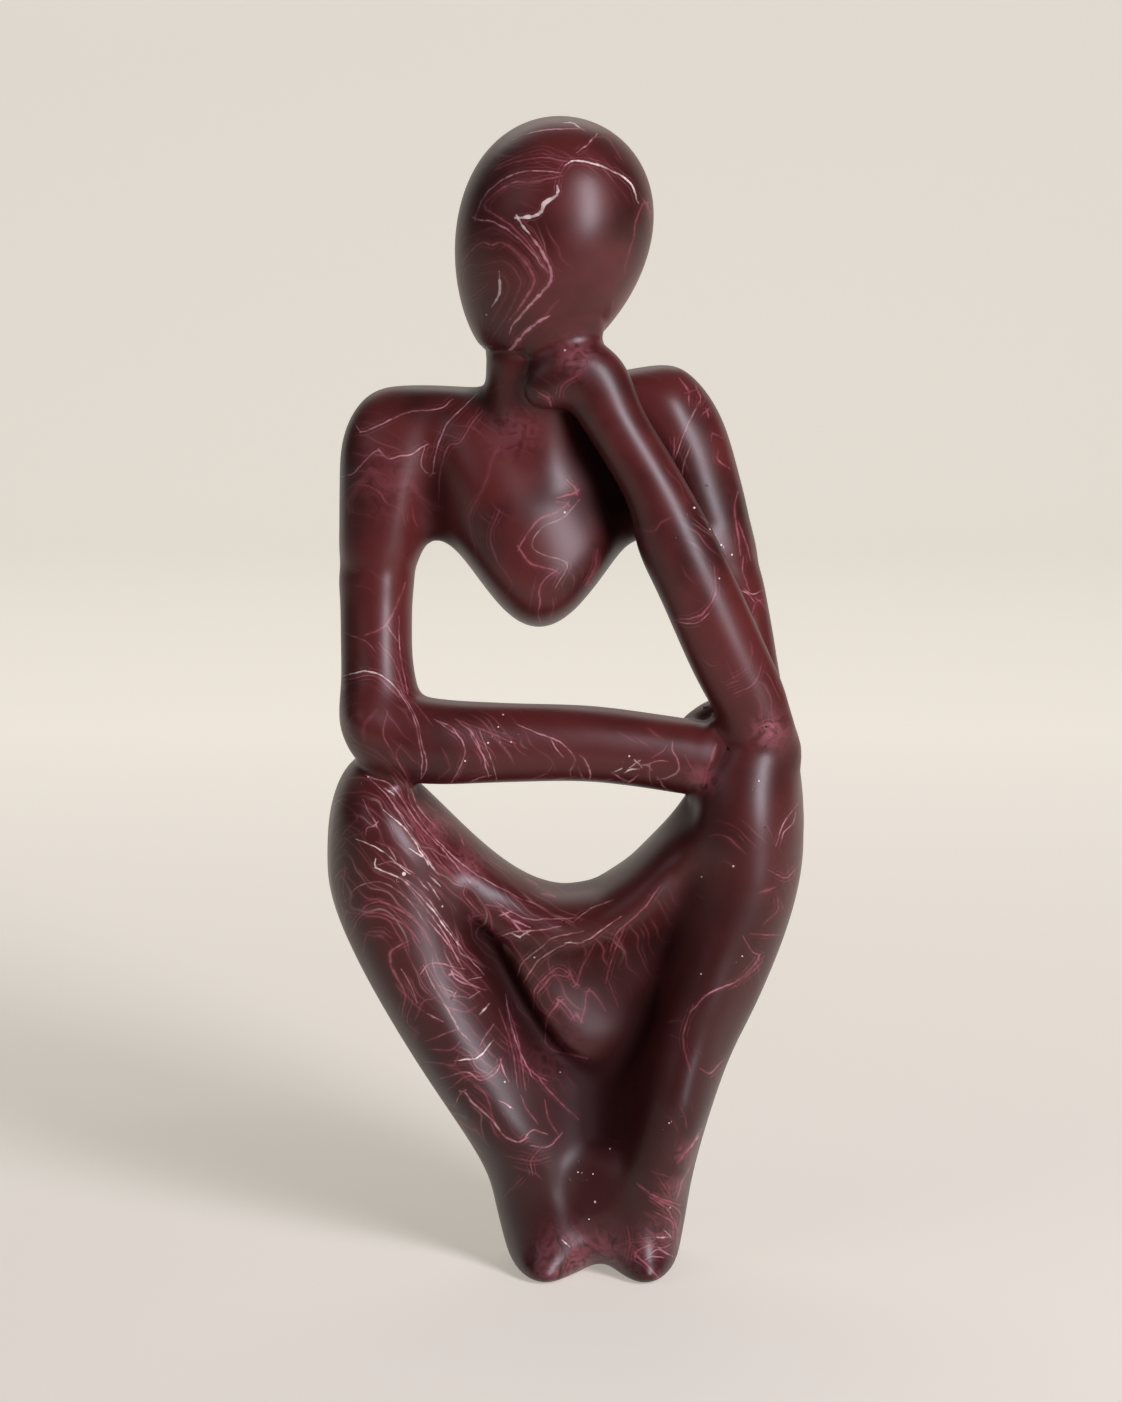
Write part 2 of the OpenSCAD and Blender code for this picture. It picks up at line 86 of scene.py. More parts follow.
# The cast skin: one distance field over all castings, softened so that the loft's facets and the
# filled seams don't show, then cut again into one closed piece for each casting
skin = {
    "voxel": 0.8,        # mm
    "band": 10,          # voxels of distance kept on both sides
    "margin": 7,         # mm of empty grid round the figure
    "soften": 1.9,       # mm, blur of the lofted castings
    "softenHead": 0.8,   # mm, the egg is round already
    "crease": 1.0,       # mm, fillet where two castings touch
    "creaseDepth": 1.0,  # mm, how deep that crease may be
    "fillet": 4.0,       # mm, blur of the wide fillets
    "elbow": 8.0,        # mm, reach of the blend where the left arm runs into the knee
    "web": 14.0,         # mm, reach of the web behind the right wrist
    "holdOff": 4.0,      # mm by which such a blend is held off outside its places
    "keepSize": 0.22,    # mm given back for what the blur takes
    "rub": 4.5,          # mm, blur where the skin is rubbed smooth
    "rubSize": 0.7,      # mm given back there
    "hollow": 6.0,       # mm, blur that tells hollows from crests
    "hollowDepth": 1.6,  # mm by which that blur fills the deepest hollows
    "onSkin": 0.6,       # voxels under the skin at which a point still counts as on it
    "skinFace": 0.3,     # voxels, the same for the middle of a face
    "sole": 1.2,         # mm up to which the edge of the sole isn't moved
    "rounds": 6,         # times that the points are moved onto the skin
    "stride": 0.5,       # mm at most in one move
    "slope": 0.3,        # least squared slope that a move is worked out from
}
# filled seams, where two castings run on without a crease: middle, full reach and fade, mm
seams = [((-42.4, 7.0, 160.2), 13, 6), ((34.7, 7.0, 160.2), 13, 6)]
# wide fillets, the blend of the left elbow into the knee, the web behind the right wrist and the places
# that are rubbed smoother, given the same way
fillets = [((46.0, -5.5, 115.0), 17, 8), ((-45.0, -3.5, 113.0), 9, 8), ((2.0, -12.5, 208.0), 9, 6)]
elbows = [((46.0, -5.5, 118.0), 8, 16)]
webs = [((32.0, 6.0, 124.0), 4, 6)]
rubbed = [((42.0, -16.0, 108.0), 9, 8), ((-14.0, -16.0, 86.0), 6, 8), ((7.0, -8.0, 20.0), 6, 6)]
# thumbed strokes: start, end, reach and how far the skin is pushed out, mm
thumbed = [
    ((0.0, -9.0, 155.0), (0.0, -9.0, 155.0), 11, 2.4),        # lower chest
    ((9.0, -5.0, 164.0), (9.0, -5.0, 164.0), 9, 2.2),         # chest beside the forearm
    ((-46.0, -13.0, 128.0), (-46.0, -13.0, 128.0), 7, 2.6),   # right elbow
    ((28.0, -17.0, 72.0), (28.0, -17.0, 72.0), 9, 1.2),       # left shin, under the knee
    ((25.0, -13.0, 60.0), (25.0, -14.0, 52.0), 8, 1.4),       # its inner side
    ((42.0, -14.0, 70.0), (42.0, -14.0, 70.0), 8, -1.2),      # its outer side
    ((36.0, -15.0, 56.0), (32.0, -16.0, 44.0), 6, -1.0),
    ((22.0, -4.0, 84.0), (19.0, -4.0, 70.0), 8, 2.5),         # corner of the pocket between the legs
    ((8.0, -9.0, 14.0), (8.0, 2.0, 38.0), 8, 4.0),            # groove between the shins, low down
    ((-7.0, -17.0, 22.0), (1.0, -17.0, 20.0), 8, -2.4),       # right ankle
    ((25.0, -16.0, 40.0), (21.0, -16.0, 26.0), 9, 3.2),       # left shin, above the foot
    ((-50.0, 0.0, 157.0), (-50.0, 0.0, 157.0), 6, -0.5),      # right shoulder's seam
]

low = np.array([c / mm - skin["margin"] for c in cadBox[0]])
high = np.array([c / mm + skin["margin"] for c in cadBox[1]])
origin = np.floor(low / skin["voxel"]).astype(int)
gridShape = tuple(int(v) for v in np.ceil(high / skin["voxel"]).astype(int) - origin)


def distanceField(node):
    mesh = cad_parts[node].data
    mesh.calc_loop_triangles()
    points = np.zeros(len(mesh.vertices) * 3, np.float32)
    mesh.vertices.foreach_get("co", points)
    corners = np.zeros(len(mesh.loop_triangles) * 3, np.int32)
    mesh.loop_triangles.foreach_get("vertices", corners)
    grid = vdb.FloatGrid.createLevelSetFromPolygons(
        points.reshape(-1, 3) / mm, triangles=corners.reshape(-1, 3).astype(np.uint32),
        transform=vdb.createLinearTransform(voxelSize=skin["voxel"]), halfWidth=float(skin["band"]))
    field = np.zeros(gridShape, np.float32)
    grid.copyToArray(field, ijk=tuple(int(v) for v in origin))
    return field


def soften(field, sigma):
    sigma = sigma / skin["voxel"]
    reach = max(1, int(math.ceil(3 * sigma)))
    taps = np.exp(-0.5 * (np.arange(-reach, reach + 1) / sigma) ** 2)
    taps /= taps.sum()
    for axis in range(3):
        padded = np.pad(field, [(reach, reach) if a == axis else (0, 0) for a in range(3)], mode="edge")
        total = np.zeros_like(field)
        for i, tap in enumerate(taps):
            part = [slice(None)] * 3
            part[axis] = slice(i, i + field.shape[axis])
            total += np.float32(tap) * padded[tuple(part)]
        field = total
    return field


def softUnion(a, b, reach):
    overlap = np.maximum(reach - np.abs(a - b), 0) / reach
    return np.minimum(a, b) - overlap * overlap * reach / 4


def sample(field, points):
    at = points / skin["voxel"] - origin
    cell = np.clip(np.floor(at).astype(int), 0, np.array(gridShape) - 2)
    f = (at - cell).astype(np.float32)
    total = 0
    for dx in (0, 1):
        for dy in (0, 1):
            for dz in (0, 1):
                weight = ((f[:, 0] if dx else 1 - f[:, 0]) * (f[:, 1] if dy else 1 - f[:, 1])
                          * (f[:, 2] if dz else 1 - f[:, 2]))
                total = total + weight * field[cell[:, 0] + dx, cell[:, 1] + dy, cell[:, 2] + dz]
    return total


raw = {name: distanceField(name) for name in castings}
soft = {name: soften(raw[name], skin["softenHead" if name == "head" else "soften"]) for name in castings}
joined = raw["legs"]
creased = soft["legs"]
for name in castings[1:]:
    joined = np.minimum(joined, raw[name])
    creased = softUnion(creased, soft[name], skin["crease"])
gridX, gridY, gridZ = [((np.arange(n) + origin[a]) * skin["voxel"]).astype(np.float32)
                       for a, n in enumerate(gridShape)]


def nearness(spots):
    near = np.zeros(gridShape, np.float32)
    for middle, reach, fade in spots:
        away = np.sqrt((gridX[:, None, None] - middle[0]) ** 2 + (gridY[None, :, None] - middle[1]) ** 2
                       + (gridZ[None, None, :] - middle[2]) ** 2)
        step = np.clip((reach + fade - away) / fade, 0, 1)
        near = np.maximum(near, step * step * (3 - 2 * step))
    return near


figure = np.minimum(creased, soften(joined, skin["soften"]) + skin["creaseDepth"] * (1 - nearness(seams)))
fillet = soften(joined, skin["fillet"]) + skin["holdOff"] * (1 - nearness(fillets))
figure = softUnion(figure, fillet, skin["crease"]) - skin["keepSize"]
elbow = softUnion(soft["legs"], soft["left_forearm"], skin["elbow"])
elbow = softUnion(elbow, soft["left_upper_arm"], skin["elbow"])
figure = softUnion(figure, elbow + skin["holdOff"] * (1 - nearness(elbows)), skin["crease"])
web = softUnion(soft["legs"], soft["left_upper_arm"], skin["web"])
web = softUnion(web, soft["right_arm"], skin["web"])
figure = np.minimum(figure, web + skin["holdOff"] * (1 - nearness(webs)))
smooth = soften(figure, skin["rub"]) - skin["rubSize"]
figure = figure + (smooth - figure) * nearness(rubbed)
for start, end, reach, push in thumbed:
    way = [gridX[:, None, None] - start[0], gridY[None, :, None] - start[1],
           gridZ[None, None, :] - start[2]]
    along = [b - a for a, b in zip(start, end)]
    part = sum(w * d for w, d in zip(way, along)) / max(sum(d * d for d in along), 0.01)
    part = np.clip(part, 0, 1)
    away = sum((w - part * d) ** 2 for w, d in zip(way, along))
    figure = figure - np.float32(push) * np.exp(-away / reach ** 2)
# the soles stay flat on the floor
figure = np.maximum(figure, -gridZ[None, None, :])
print("skin field", gridShape, "voxels of", skin["voxel"], "mm")

slopes = np.gradient(figure, skin["voxel"])
hollows = soften(figure, skin["hollow"])


def steepest(slopes, at):
    # the move that takes a point one unit up a field
    n = np.stack([sample(s, at) for s in slopes], axis=1)
    return n / np.maximum(np.einsum("ij,ij->i", n, n), skin["slope"])[:, None]


def castPiece(name):
    # the figure's share of one casting, closed by the face where it meets its neighbours
    others = np.minimum.reduce([soft[n] for n in castings if n != name])
    seam = (soft[name] - others) / 2
    seamSlopes = np.gradient(seam, skin["voxel"])
    grid = vdb.FloatGrid(float(skin["band"]) * skin["voxel"])
    grid.copyFromArray(np.maximum(figure, seam))
    points, quads = grid.convertToQuads(isovalue=0.0)
    points = (np.asarray(points, np.float64) + origin) * skin["voxel"]
    quads = np.asarray(quads, np.int64)
    onSkin = sample(figure, points) > -skin["onSkin"] * skin["voxel"]
    onSkin &= points[:, 2] >= skin["sole"]
    onSeam = sample(seam, points) > -skin["onSkin"] * skin["voxel"]
    for turn in range(skin["rounds"]):
        for field, fieldSlopes, picked in ((seam, seamSlopes, onSeam), (figure, slopes, onSkin)):
            moves = np.clip(sample(field, points), -skin["stride"], skin["stride"])[:, None]
            moves = moves * steepest(fieldSlopes, points)
            points[picked] -= moves[picked]
    return points, quads


# Where the camera stands, which is also the plane that the veins are laid out on
view = {
    "target": (0.0, 0.007, 0.127),  # m
    "distance": 0.9,                # m
    "lift": 9,                      # degrees that it looks down
    "lens": 102.3,                  # mm
    "sensor": 36,                   # mm, its height
    "shift": (-0.0029, 0.0071),
}
lift = math.radians(view["lift"])
viewTarget = np.array(view["target"]) / mm
viewUp = np.array([0, math.sin(lift), math.cos(lift)])
viewAlong = np.array([0, math.cos(lift), -math.sin(lift)])


def onViewPlane(points):
    rel = points - viewTarget
    scale = 1 / (1 + rel @ viewAlong * mm / view["distance"])
    return np.stack([rel[:, 0] * scale, viewTarget[2] + rel @ viewUp * scale], axis=1)


# Places picked are in the photo's pixels: the pixel at the camera's target, how high that is in mm,
# and how many pixels show a millimetre there
pick = {"middle": (565, 711), "height": 127, "scale": 4.425}


def fromPick(x, y):
    # millimetres across and up on the view plane
    across = (x - pick["middle"][0]) / pick["scale"]
    up = pick["height"] + (pick["middle"][1] - y) / pick["scale"]
    return round(across, 1), round(up, 1)


# Veins poured into the front, by the castings that they run over: tint, width and a few points, as picked
veins = {
    "head": [
        ("cream", 2.5, [(567, 164), (573, 161), (592, 163), (614, 172), (631, 184), (637, 200)]),
        ("cream", 5, [(558, 189), (557, 195), (545, 203), (541, 211), (535, 216), (518, 218)]),
        ("cream", 4, [(518, 218), (523, 227), (528, 232)]),
        ("rose", 3.5, [(528, 232), (542, 252), (551, 272), (549, 284), (533, 302), (513, 325),
            (510, 331)]),
        ("pink", 3.5, [(464, 260), (472, 250), (482, 243), (492, 245), (502, 243), (520, 256), (533, 275),
            (533, 285), (520, 307), (510, 320)]),
        ("rose", 2, [(558, 173), (542, 171), (523, 172), (508, 177), (487, 193), (476, 215), (478, 220),
            (493, 222), (513, 234), (532, 252), (545, 270)]),
        ("pink", 2.5, [(559, 177), (530, 182), (517, 182), (505, 187), (488, 200), (485, 208), (500, 218),
            (512, 227), (530, 245)]),
        ("dusk", 1.5, [(538, 182), (508, 188), (491, 203), (490, 210)]),
        ("dusk", 1.5, [(560, 157), (542, 150), (517, 157), (500, 166), (493, 173)]),
        ("pink", 1.5, [(567, 162), (543, 158), (517, 162), (498, 169)]),
        ("rose", 1.5, [(514, 139), (523, 135), (548, 130), (581, 129)]),
        ("cream", 1.5, [(582, 129), (573, 124), (567, 123)]),
        ("rose", 2, [(579, 151), (587, 145), (595, 136)]),
        ("dusk", 1.3, [(567, 164), (561, 173), (558, 189)]),
        ("pink", 1.5, [(634, 233), (636, 222), (644, 203), (650, 212)]),
        ("dusk", 1.2, [(634, 237), (626, 262), (625, 270)]),
        ("rose", 4, [(500, 353), (510, 350), (520, 338), (538, 322), (547, 317)]),
        ("dusk", 2, [(541, 321), (550, 309), (557, 302)]),
        ("cream", 3, [(499, 275), (500, 292), (493, 305)]),
        ("dusk", 2, [(479, 275), (492, 271), (505, 278), (508, 290), (500, 307), (489, 328), (487, 340)]),
        ("dusk", 2, [(479, 266), (505, 262), (519, 278), (520, 288), (507, 315), (492, 338)]),
        ("dusk", 1.5, [(467, 238), (485, 231), (497, 229), (517, 242)]),
        ("pink", 1.5, [(523, 238), (533, 250), (547, 270)]),
        ("dusk", 1.2, [(598, 137), (608, 139), (620, 157)]),
        ("dusk", 1.2, [(485, 286), (472, 297)]),
    ],
    "torso": [
        ("rose", 1.6, [(354, 421), (362, 432), (384, 423), (410, 412), (438, 409), (451, 401)]),
        ("rose", 2, [(345, 476), (354, 473), (370, 456), (379, 451), (388, 459), (401, 456), (410, 455),
            (425, 446)]),
        ("rose", 1.6, [(424, 450), (421, 466), (432, 474), (436, 452), (446, 426), (460, 410),
            (474, 397)]),
        ("dusk", 6.5, [(349, 510), (349, 500), (364, 479), (373, 472), (388, 486), (410, 483), (421, 498),
            (439, 508)]),
        ("pink", 1.8, [(439, 507), (440, 473), (448, 447), (460, 442), (473, 422), (480, 413)]),
        ("dusk", 2.5, [(502, 442), (492, 460), (485, 485), (472, 508), (469, 522), (477, 557)]),
        ("dusk", 1.6, [(498, 513), (490, 537), (497, 560), (512, 583), (508, 593)]),
        ("pink", 2.5, [(569, 482), (577, 492), (560, 497)]),
        ("pink", 2.2, [(559, 502), (567, 504), (557, 512), (537, 521), (522, 542), (519, 548)]),
        ("pink", 2.5, [(519, 548), (530, 563), (550, 569), (555, 571)]),
        ("pink", 2.2, [(555, 571), (543, 582), (539, 592), (540, 603), (538, 613), (540, 622)]),
        ("buff", 1.2, [(577, 502), (563, 518), (542, 528), (532, 547), (547, 556), (567, 564),
            (557, 585)]),
        ("dusk", 4, [(597, 553), (595, 567), (587, 583)]),
        ("dusk", 2, [(553, 602), (553, 610), (551, 617)]),
        ("dusk", 1.6, [(535, 580), (532, 595), (530, 608)]),
    ],
    "left_forearm": [
        ("dusk", 2, [(578, 375), (563, 385), (560, 393)]),
        ("pink", 4, [(543, 395), (548, 398), (550, 403)]),
        ("dusk", 1.6, [(640, 531), (654, 531), (660, 524), (668, 519)]),
        ("pink", 2, [(678, 620), (692, 618), (705, 612), (714, 597), (716, 590), (714, 570)]),
        ("rose", 1.3, [(680, 622), (688, 624), (698, 622), (706, 616)]),
        ("dusk", 1.2, [(704, 660), (710, 666), (714, 666)]),
        ("dusk", 1.2, [(751, 644), (752, 652), (750, 662)]),
        ("pink", 1, [(738, 692), (754, 684), (761, 666)]),
        ("pink", 1, [(729, 684), (736, 682)]),
        ("dusk", 1.2, [(736, 676), (743, 671)]),
        ("pink", 3, [(762, 726), (770, 724), (776, 730)]),
    ],
    "left_upper_arm torso": [
        ("pink", 2, [(681, 381), (688, 391), (689, 403)]),
        ("pink", 1.2, [(688, 393), (693, 391)]),
        ("buff", 1.5, [(698, 404), (688, 424), (681, 442), (675, 458)]),
        ("pink", 2.2, [(674, 441), (674, 454), (672, 462), (675, 478)]),
        ("buff", 1.3, [(689, 449), (683, 466), (682, 476)]),
        ("pink", 1.4, [(696, 386), (701, 399), (700, 404)]),
        ("pink", 1.4, [(703, 414), (706, 411), (708, 415)]),
        ("pink", 1, [(711, 438), (713, 434), (720, 437)]),
        ("pink", 2, [(717, 455), (717, 460), (727, 467)]),
        ("pink", 3, [(691, 494), (699, 514), (708, 534), (711, 544)]),
        ("pink", 1.6, [(720, 554), (726, 568), (732, 578)]),
        ("pink", 2, [(737, 495), (734, 508), (738, 534), (740, 552)]),
        ("pink", 1.5, [(740, 526), (747, 546), (750, 558)]),
        ("pink", 1.6, [(743, 560), (742, 570), (748, 588)]),
        ("rose", 1.3, [(741, 591), (746, 592), (752, 599)]),
        ("rose", 1.3, [(747, 591), (752, 594), (763, 590)]),
        ("pink", 1.4, [(753, 610), (755, 604), (759, 601), (768, 612)]),
    ],
    "right_arm": [
        ("dusk", 2, [(345, 556), (352, 568), (362, 564)]),
        ("pink", 2.5, [(404, 586), (399, 600), (386, 625), (368, 634)]),
        ("pink", 1.2, [(347, 634), (365, 641), (373, 649)]),
        ("rose", 1.5, [(388, 628), (396, 639)]),
        ("rose", 1.2, [(399, 620), (400, 650), (407, 690)]),
        ("pink", 1, [(380, 644), (394, 662), (404, 690)]),
        ("cream", 1.8, [(345, 675), (368, 671), (390, 682), (404, 699)]),
        ("pink", 1.2, [(346, 680), (374, 676), (396, 694)]),
        ("rose", 1.6, [(398, 690), (410, 710), (415, 722), (422, 757), (421, 775)]),
        ("rose", 1.4, [(402, 693), (416, 717), (421, 740), (427, 765), (422, 777)]),
        ("pink", 1.3, [(387, 714), (383, 733), (392, 752)]),
        ("dusk", 4, [(375, 712), (363, 727), (364, 738)]),
        ("pink", 1.5, [(400, 747), (396, 757), (410, 782)]),
        ("dusk", 1.3, [(358, 743), (380, 755), (408, 783)]),
        ("dusk", 1.2, [(358, 748), (383, 762), (403, 785)]),
        ("rose", 1.2, [(437, 721), (455, 733)]),
        ("rose", 1.6, [(440, 722), (452, 728), (465, 748), (460, 767), (452, 781)]),
        ("rose", 2, [(458, 721), (472, 733), (482, 753), (488, 774)]),
        ("rose", 1.6, [(488, 776), (480, 778), (470, 782)]),
        ("rose", 1.5, [(472, 737), (487, 763)]),
        ("buff", 1.3, [(480, 732), (492, 762), (497, 781)]),
        ("pink", 1.2, [(463, 722), (487, 732), (511, 742)]),
        ("dusk", 1.3, [(443, 750), (450, 767), (440, 777)]),
        ("pink", 1, [(415, 703), (431, 723)]),
        ("rose", 1.8, [(521, 726), (540, 734), (560, 742), (570, 752), (575, 760), (570, 771),
            (571, 779)]),
        ("rose", 1.5, [(552, 742), (556, 749), (561, 755)]),
        ("rose", 2, [(582, 757), (586, 761), (590, 772), (590, 779)]),
        ("rose", 1.6, [(579, 770), (584, 779), (600, 782), (610, 779)]),
        ("rose", 1, [(555, 780), (572, 777)]),
        ("pink", 1, [(530, 780), (546, 774), (550, 769)]),
        ("cream", 2, [(614, 772), (619, 770)]),
        ("cream", 2, [(627, 771), (631, 769), (636, 769)]),
        ("cream", 1.6, [(632, 766), (637, 762), (640, 765)]),
        ("rose", 1.5, [(614, 774), (622, 779)]),
        ("rose", 1.5, [(625, 780), (629, 782), (636, 777)]),
        ("buff", 1.5, [(640, 765), (648, 766), (650, 770), (649, 776), (651, 782)]),
        ("rose", 1.3, [(647, 765), (657, 761), (665, 761)]),
        ("pink", 1.3, [(654, 756), (662, 752), (665, 748)]),
        ("rose", 1.8, [(672, 744), (672, 751), (678, 761), (678, 771), (667, 778), (660, 779)]),
        ("rose", 1.6, [(659, 779), (667, 790), (685, 799)]),
        ("pink", 1, [(686, 757), (696, 776)]),
        ("pink", 3.5, [(703, 790), (706, 775), (715, 747)]),
        ("dusk", 1.3, [(621, 734), (634, 741)]),
    ],
    "legs": [
        ("rose", 1.8, [(364, 802), (370, 814), (376, 824), (367, 828), (366, 832)]),
        ("pink", 1.3, [(340, 802), (352, 810), (357, 818), (348, 828), (340, 837)]),
        ("dusk", 1.3, [(365, 832), (348, 838), (340, 848)]),
        ("cream", 1.6, [(359, 840), (378, 848), (397, 863), (407, 872)]),
        ("pink", 1.5, [(379, 843), (395, 850), (410, 872), (420, 880)]),
        ("rose", 1.5, [(381, 864), (393, 862), (412, 872)]),
        ("cream", 2.2, [(375, 862), (377, 868), (403, 880), (430, 907), (456, 942)]),
        ("rose", 1.5, [(403, 878), (422, 892), (447, 925)]),
        ("rose", 1.8, [(405, 882), (423, 905), (442, 930), (457, 957)]),
        ("cream", 2.5, [(390, 850), (394, 857)]),
        ("cream", 1.8, [(412, 850), (427, 860), (435, 871)]),
        ("rose", 1.6, [(368, 777), (388, 797), (410, 832), (437, 873)]),
        ("rose", 1.6, [(370, 777), (393, 787), (417, 822), (445, 852), (468, 880)]),
        ("rose", 1.5, [(407, 787), (413, 807), (437, 840), (473, 872), (520, 898)]),
        ("rose", 1.8, [(410, 785), (418, 807), (433, 825)]),
        ("pink", 1.3, [(400, 787), (410, 815), (433, 853), (453, 875)]),
        ("cream", 2, [(386, 812), (408, 832), (427, 862)]),
        ("rose", 1.5, [(393, 803), (411, 828)]),
        ("cream", 3, [(387, 790), (391, 793)]),
        ("pink", 4, [(432, 823), (437, 828)]),
        ("pink", 4, [(474, 864), (477, 869)]),
        ("pink", 2.5, [(461, 837), (463, 842)]),
        ("cream", 2, [(430, 885), (438, 897)]),
        ("cream", 1.8, [(432, 878), (438, 884)]),
        ("cream", 1.5, [(420, 881), (426, 888)]),
        ("buff", 1.4, [(347, 899), (358, 887), (378, 882), (395, 889), (413, 905), (428, 927)]),
        ("pink", 1.5, [(337, 875), (345, 868), (343, 887), (345, 899)]),
        ("pink", 1.8, [(355, 918), (368, 905), (382, 902), (403, 912), (422, 928), (430, 943)]),
        ("pink", 1.8, [(352, 932), (362, 915), (383, 914), (407, 927), (418, 940)]),
        ("pink", 1.4, [(364, 950), (367, 933), (382, 932), (389, 936)]),
        ("pink", 2, [(465, 888), (464, 895), (477, 910), (482, 915)]),
        ("pink", 2, [(482, 915), (470, 918), (480, 925)]),
        ("pink", 2, [(487, 905), (500, 907)]),
        ("rose", 2.5, [(502, 915), (509, 912)]),
        ("rose", 2.5, [(505, 914), (512, 919), (527, 926)]),
        ("cream", 3, [(514, 935), (520, 937), (526, 933)]),
        ("rose", 2.2, [(526, 933), (520, 929), (513, 922)]),
        ("rose", 2, [(501, 936), (517, 932), (540, 930), (558, 927)]),
        ("rose", 1.5, [(500, 905), (524, 918), (544, 919), (572, 918)]),
        ("buff", 1.3, [(578, 918), (592, 908), (610, 901)]),
        ("pink", 4, [(526, 878), (536, 883)]),
        ("pink", 3, [(544, 894), (552, 896)]),
        ("rose", 1.4, [(528, 901), (533, 903)]),
        ("pink", 3, [(405, 943), (390, 952), (393, 970), (405, 993), (402, 1013)]),
        ("rose", 2.5, [(403, 972), (412, 988), (416, 1000)]),
        ("pink", 1.3, [(412, 1003), (407, 1022), (417, 1032)]),
        ("rose", 1.6, [(422, 972), (432, 963), (461, 968)]),
        ("rose", 1.6, [(461, 966), (450, 947), (428, 920)]),
        ("buff", 2.2, [(425, 968), (432, 983), (448, 1010), (458, 1028), (468, 1039)]),
        ("pink", 1.2, [(416, 1018), (423, 1002), (433, 998)]),
        ("buff", 1.2, [(442, 987), (454, 993), (453, 997)]),
        ("rose", 2, [(470, 983), (453, 973), (457, 980), (483, 989)]),
        ("cream", 2, [(472, 979), (478, 978)]),
        ("cream", 2, [(472, 996), (477, 993)]),
        ("cream", 2, [(482, 1012), (487, 1006)]),
        ("rose", 1.6, [(448, 927), (465, 953), (482, 972)]),
        ("rose", 2, [(430, 1015), (440, 1020)]),
        ("pink", 1.8, [(450, 1008), (465, 1012), (474, 1008)]),
        ("pink", 1.3, [(428, 1040), (442, 1035), (457, 1029)]),
        ("pink", 1.5, [(432, 1049), (450, 1050), (458, 1044)]),
        ("cream", 2.2, [(458, 1060), (478, 1057), (491, 1043)]),
        ("pink", 1.5, [(457, 1059), (453, 1065), (437, 1063), (428, 1062)]),
        ("rose", 2, [(443, 1078), (467, 1072), (480, 1080), (495, 1073), (501, 1062)]),
        ("rose", 1.6, [(501, 1062), (503, 1070), (507, 1078)]),
        ("pink", 1.5, [(450, 1088), (467, 1076), (485, 1076), (498, 1065)]),
        ("rose", 2.2, [(455, 1105), (463, 1091), (472, 1102), (492, 1120), (503, 1135), (517, 1142),
            (525, 1139)]),
        ("pink", 1.5, [(477, 1088), (487, 1097), (493, 1118)]),
        ("rose", 2, [(502, 1102), (510, 1107)]),
        ("rose", 1.6, [(506, 997), (510, 1020), (518, 1047), (530, 1073)]),
        ("pink", 1.3, [(500, 1012), (512, 1047), (517, 1085)]),
        ("pink", 1.5, [(510, 1013), (518, 1040), (525, 1087)]),
        ("buff", 1.5, [(492, 1027), (487, 1033), (482, 1042)]),
        ("rose", 1.6, [(525, 1138), (532, 1130), (544, 1133)]),
        ("rose", 1.6, [(534, 1146), (548, 1147), (560, 1135)]),
        ("pink", 1.2, [(532, 1171), (531, 1160), (540, 1148)]),
        ("pink", 1.5, [(523, 1064), (538, 1076), (544, 1079)]),
        ("pink", 1.8, [(538, 1077), (554, 1096), (576, 1117)]),
        ("pink", 1.3, [(522, 1098), (526, 1108), (536, 1121)]),
        ("pink", 1.3, [(545, 1103), (549, 1120), (558, 1134)]),
        ("buff", 1.5, [(518, 973), (524, 961), (542, 947), (552, 938), (580, 932)]),
        ("buff", 1.6, [(525, 980), (538, 961), (552, 951), (568, 943)]),
        ("cream", 1.8, [(568, 943), (580, 943)]),
        ("rose", 1.4, [(580, 943), (592, 937), (618, 918)]),
        ("pink", 1.4, [(533, 1010), (536, 988), (552, 971), (560, 968), (570, 974)]),
        ("pink", 1.6, [(540, 990), (554, 975), (566, 977), (570, 973)]),
        ("pink", 1.8, [(570, 973), (576, 984), (582, 968), (593, 947)]),
        ("pink", 2.4, [(545, 1040), (547, 1020), (555, 1008), (560, 1001), (569, 1010), (573, 1017)]),
        ("pink", 2.4, [(573, 1017), (576, 1014), (581, 1020)]),
        ("pink", 2.2, [(581, 1020), (585, 1006), (586, 993), (593, 992), (604, 1008)]),
        ("pink", 1.5, [(610, 950), (618, 932), (642, 910), (658, 889)]),
        ("pink", 1.2, [(606, 980), (613, 956), (623, 931)]),
        ("dusk", 1.3, [(608, 980), (617, 1004)]),
        ("pink", 3, [(546, 1043), (552, 1050), (584, 1058)]),
        ("pink", 4, [(776, 730), (772, 736), (767, 739)]),
        ("rose", 1.5, [(777, 842), (783, 824), (792, 811), (796, 806)]),
        ("rose", 1.5, [(782, 839), (785, 831), (793, 824), (795, 816)]),
        ("pink", 1.1, [(771, 871), (786, 878), (797, 867)]),
        ("pink", 3, [(762, 892), (771, 889)]),
        ("pink", 1, [(778, 902), (778, 910), (766, 922)]),
        ("pink", 1.2, [(753, 934), (770, 935), (779, 935)]),
        ("pink", 1.3, [(744, 939), (752, 952), (759, 957), (740, 979), (706, 995)]),
        ("rose", 1.5, [(730, 984), (708, 994), (692, 1010)]),
        ("pink", 1.2, [(760, 964), (742, 980)]),
        ("pink", 1.3, [(692, 1008), (685, 1028), (683, 1042), (689, 1068)]),
        ("pink", 3, [(703, 1128), (692, 1144), (679, 1160)]),
        ("rose", 1.6, [(699, 1136), (688, 1150)]),
        ("pink", 2, [(696, 1158), (684, 1178), (678, 1196)]),
        ("rose", 2, [(681, 1184), (678, 1197)]),
        ("pink", 2.2, [(639, 1185), (654, 1196), (680, 1205)]),
        ("pink", 2, [(652, 1198), (668, 1210), (678, 1230)]),
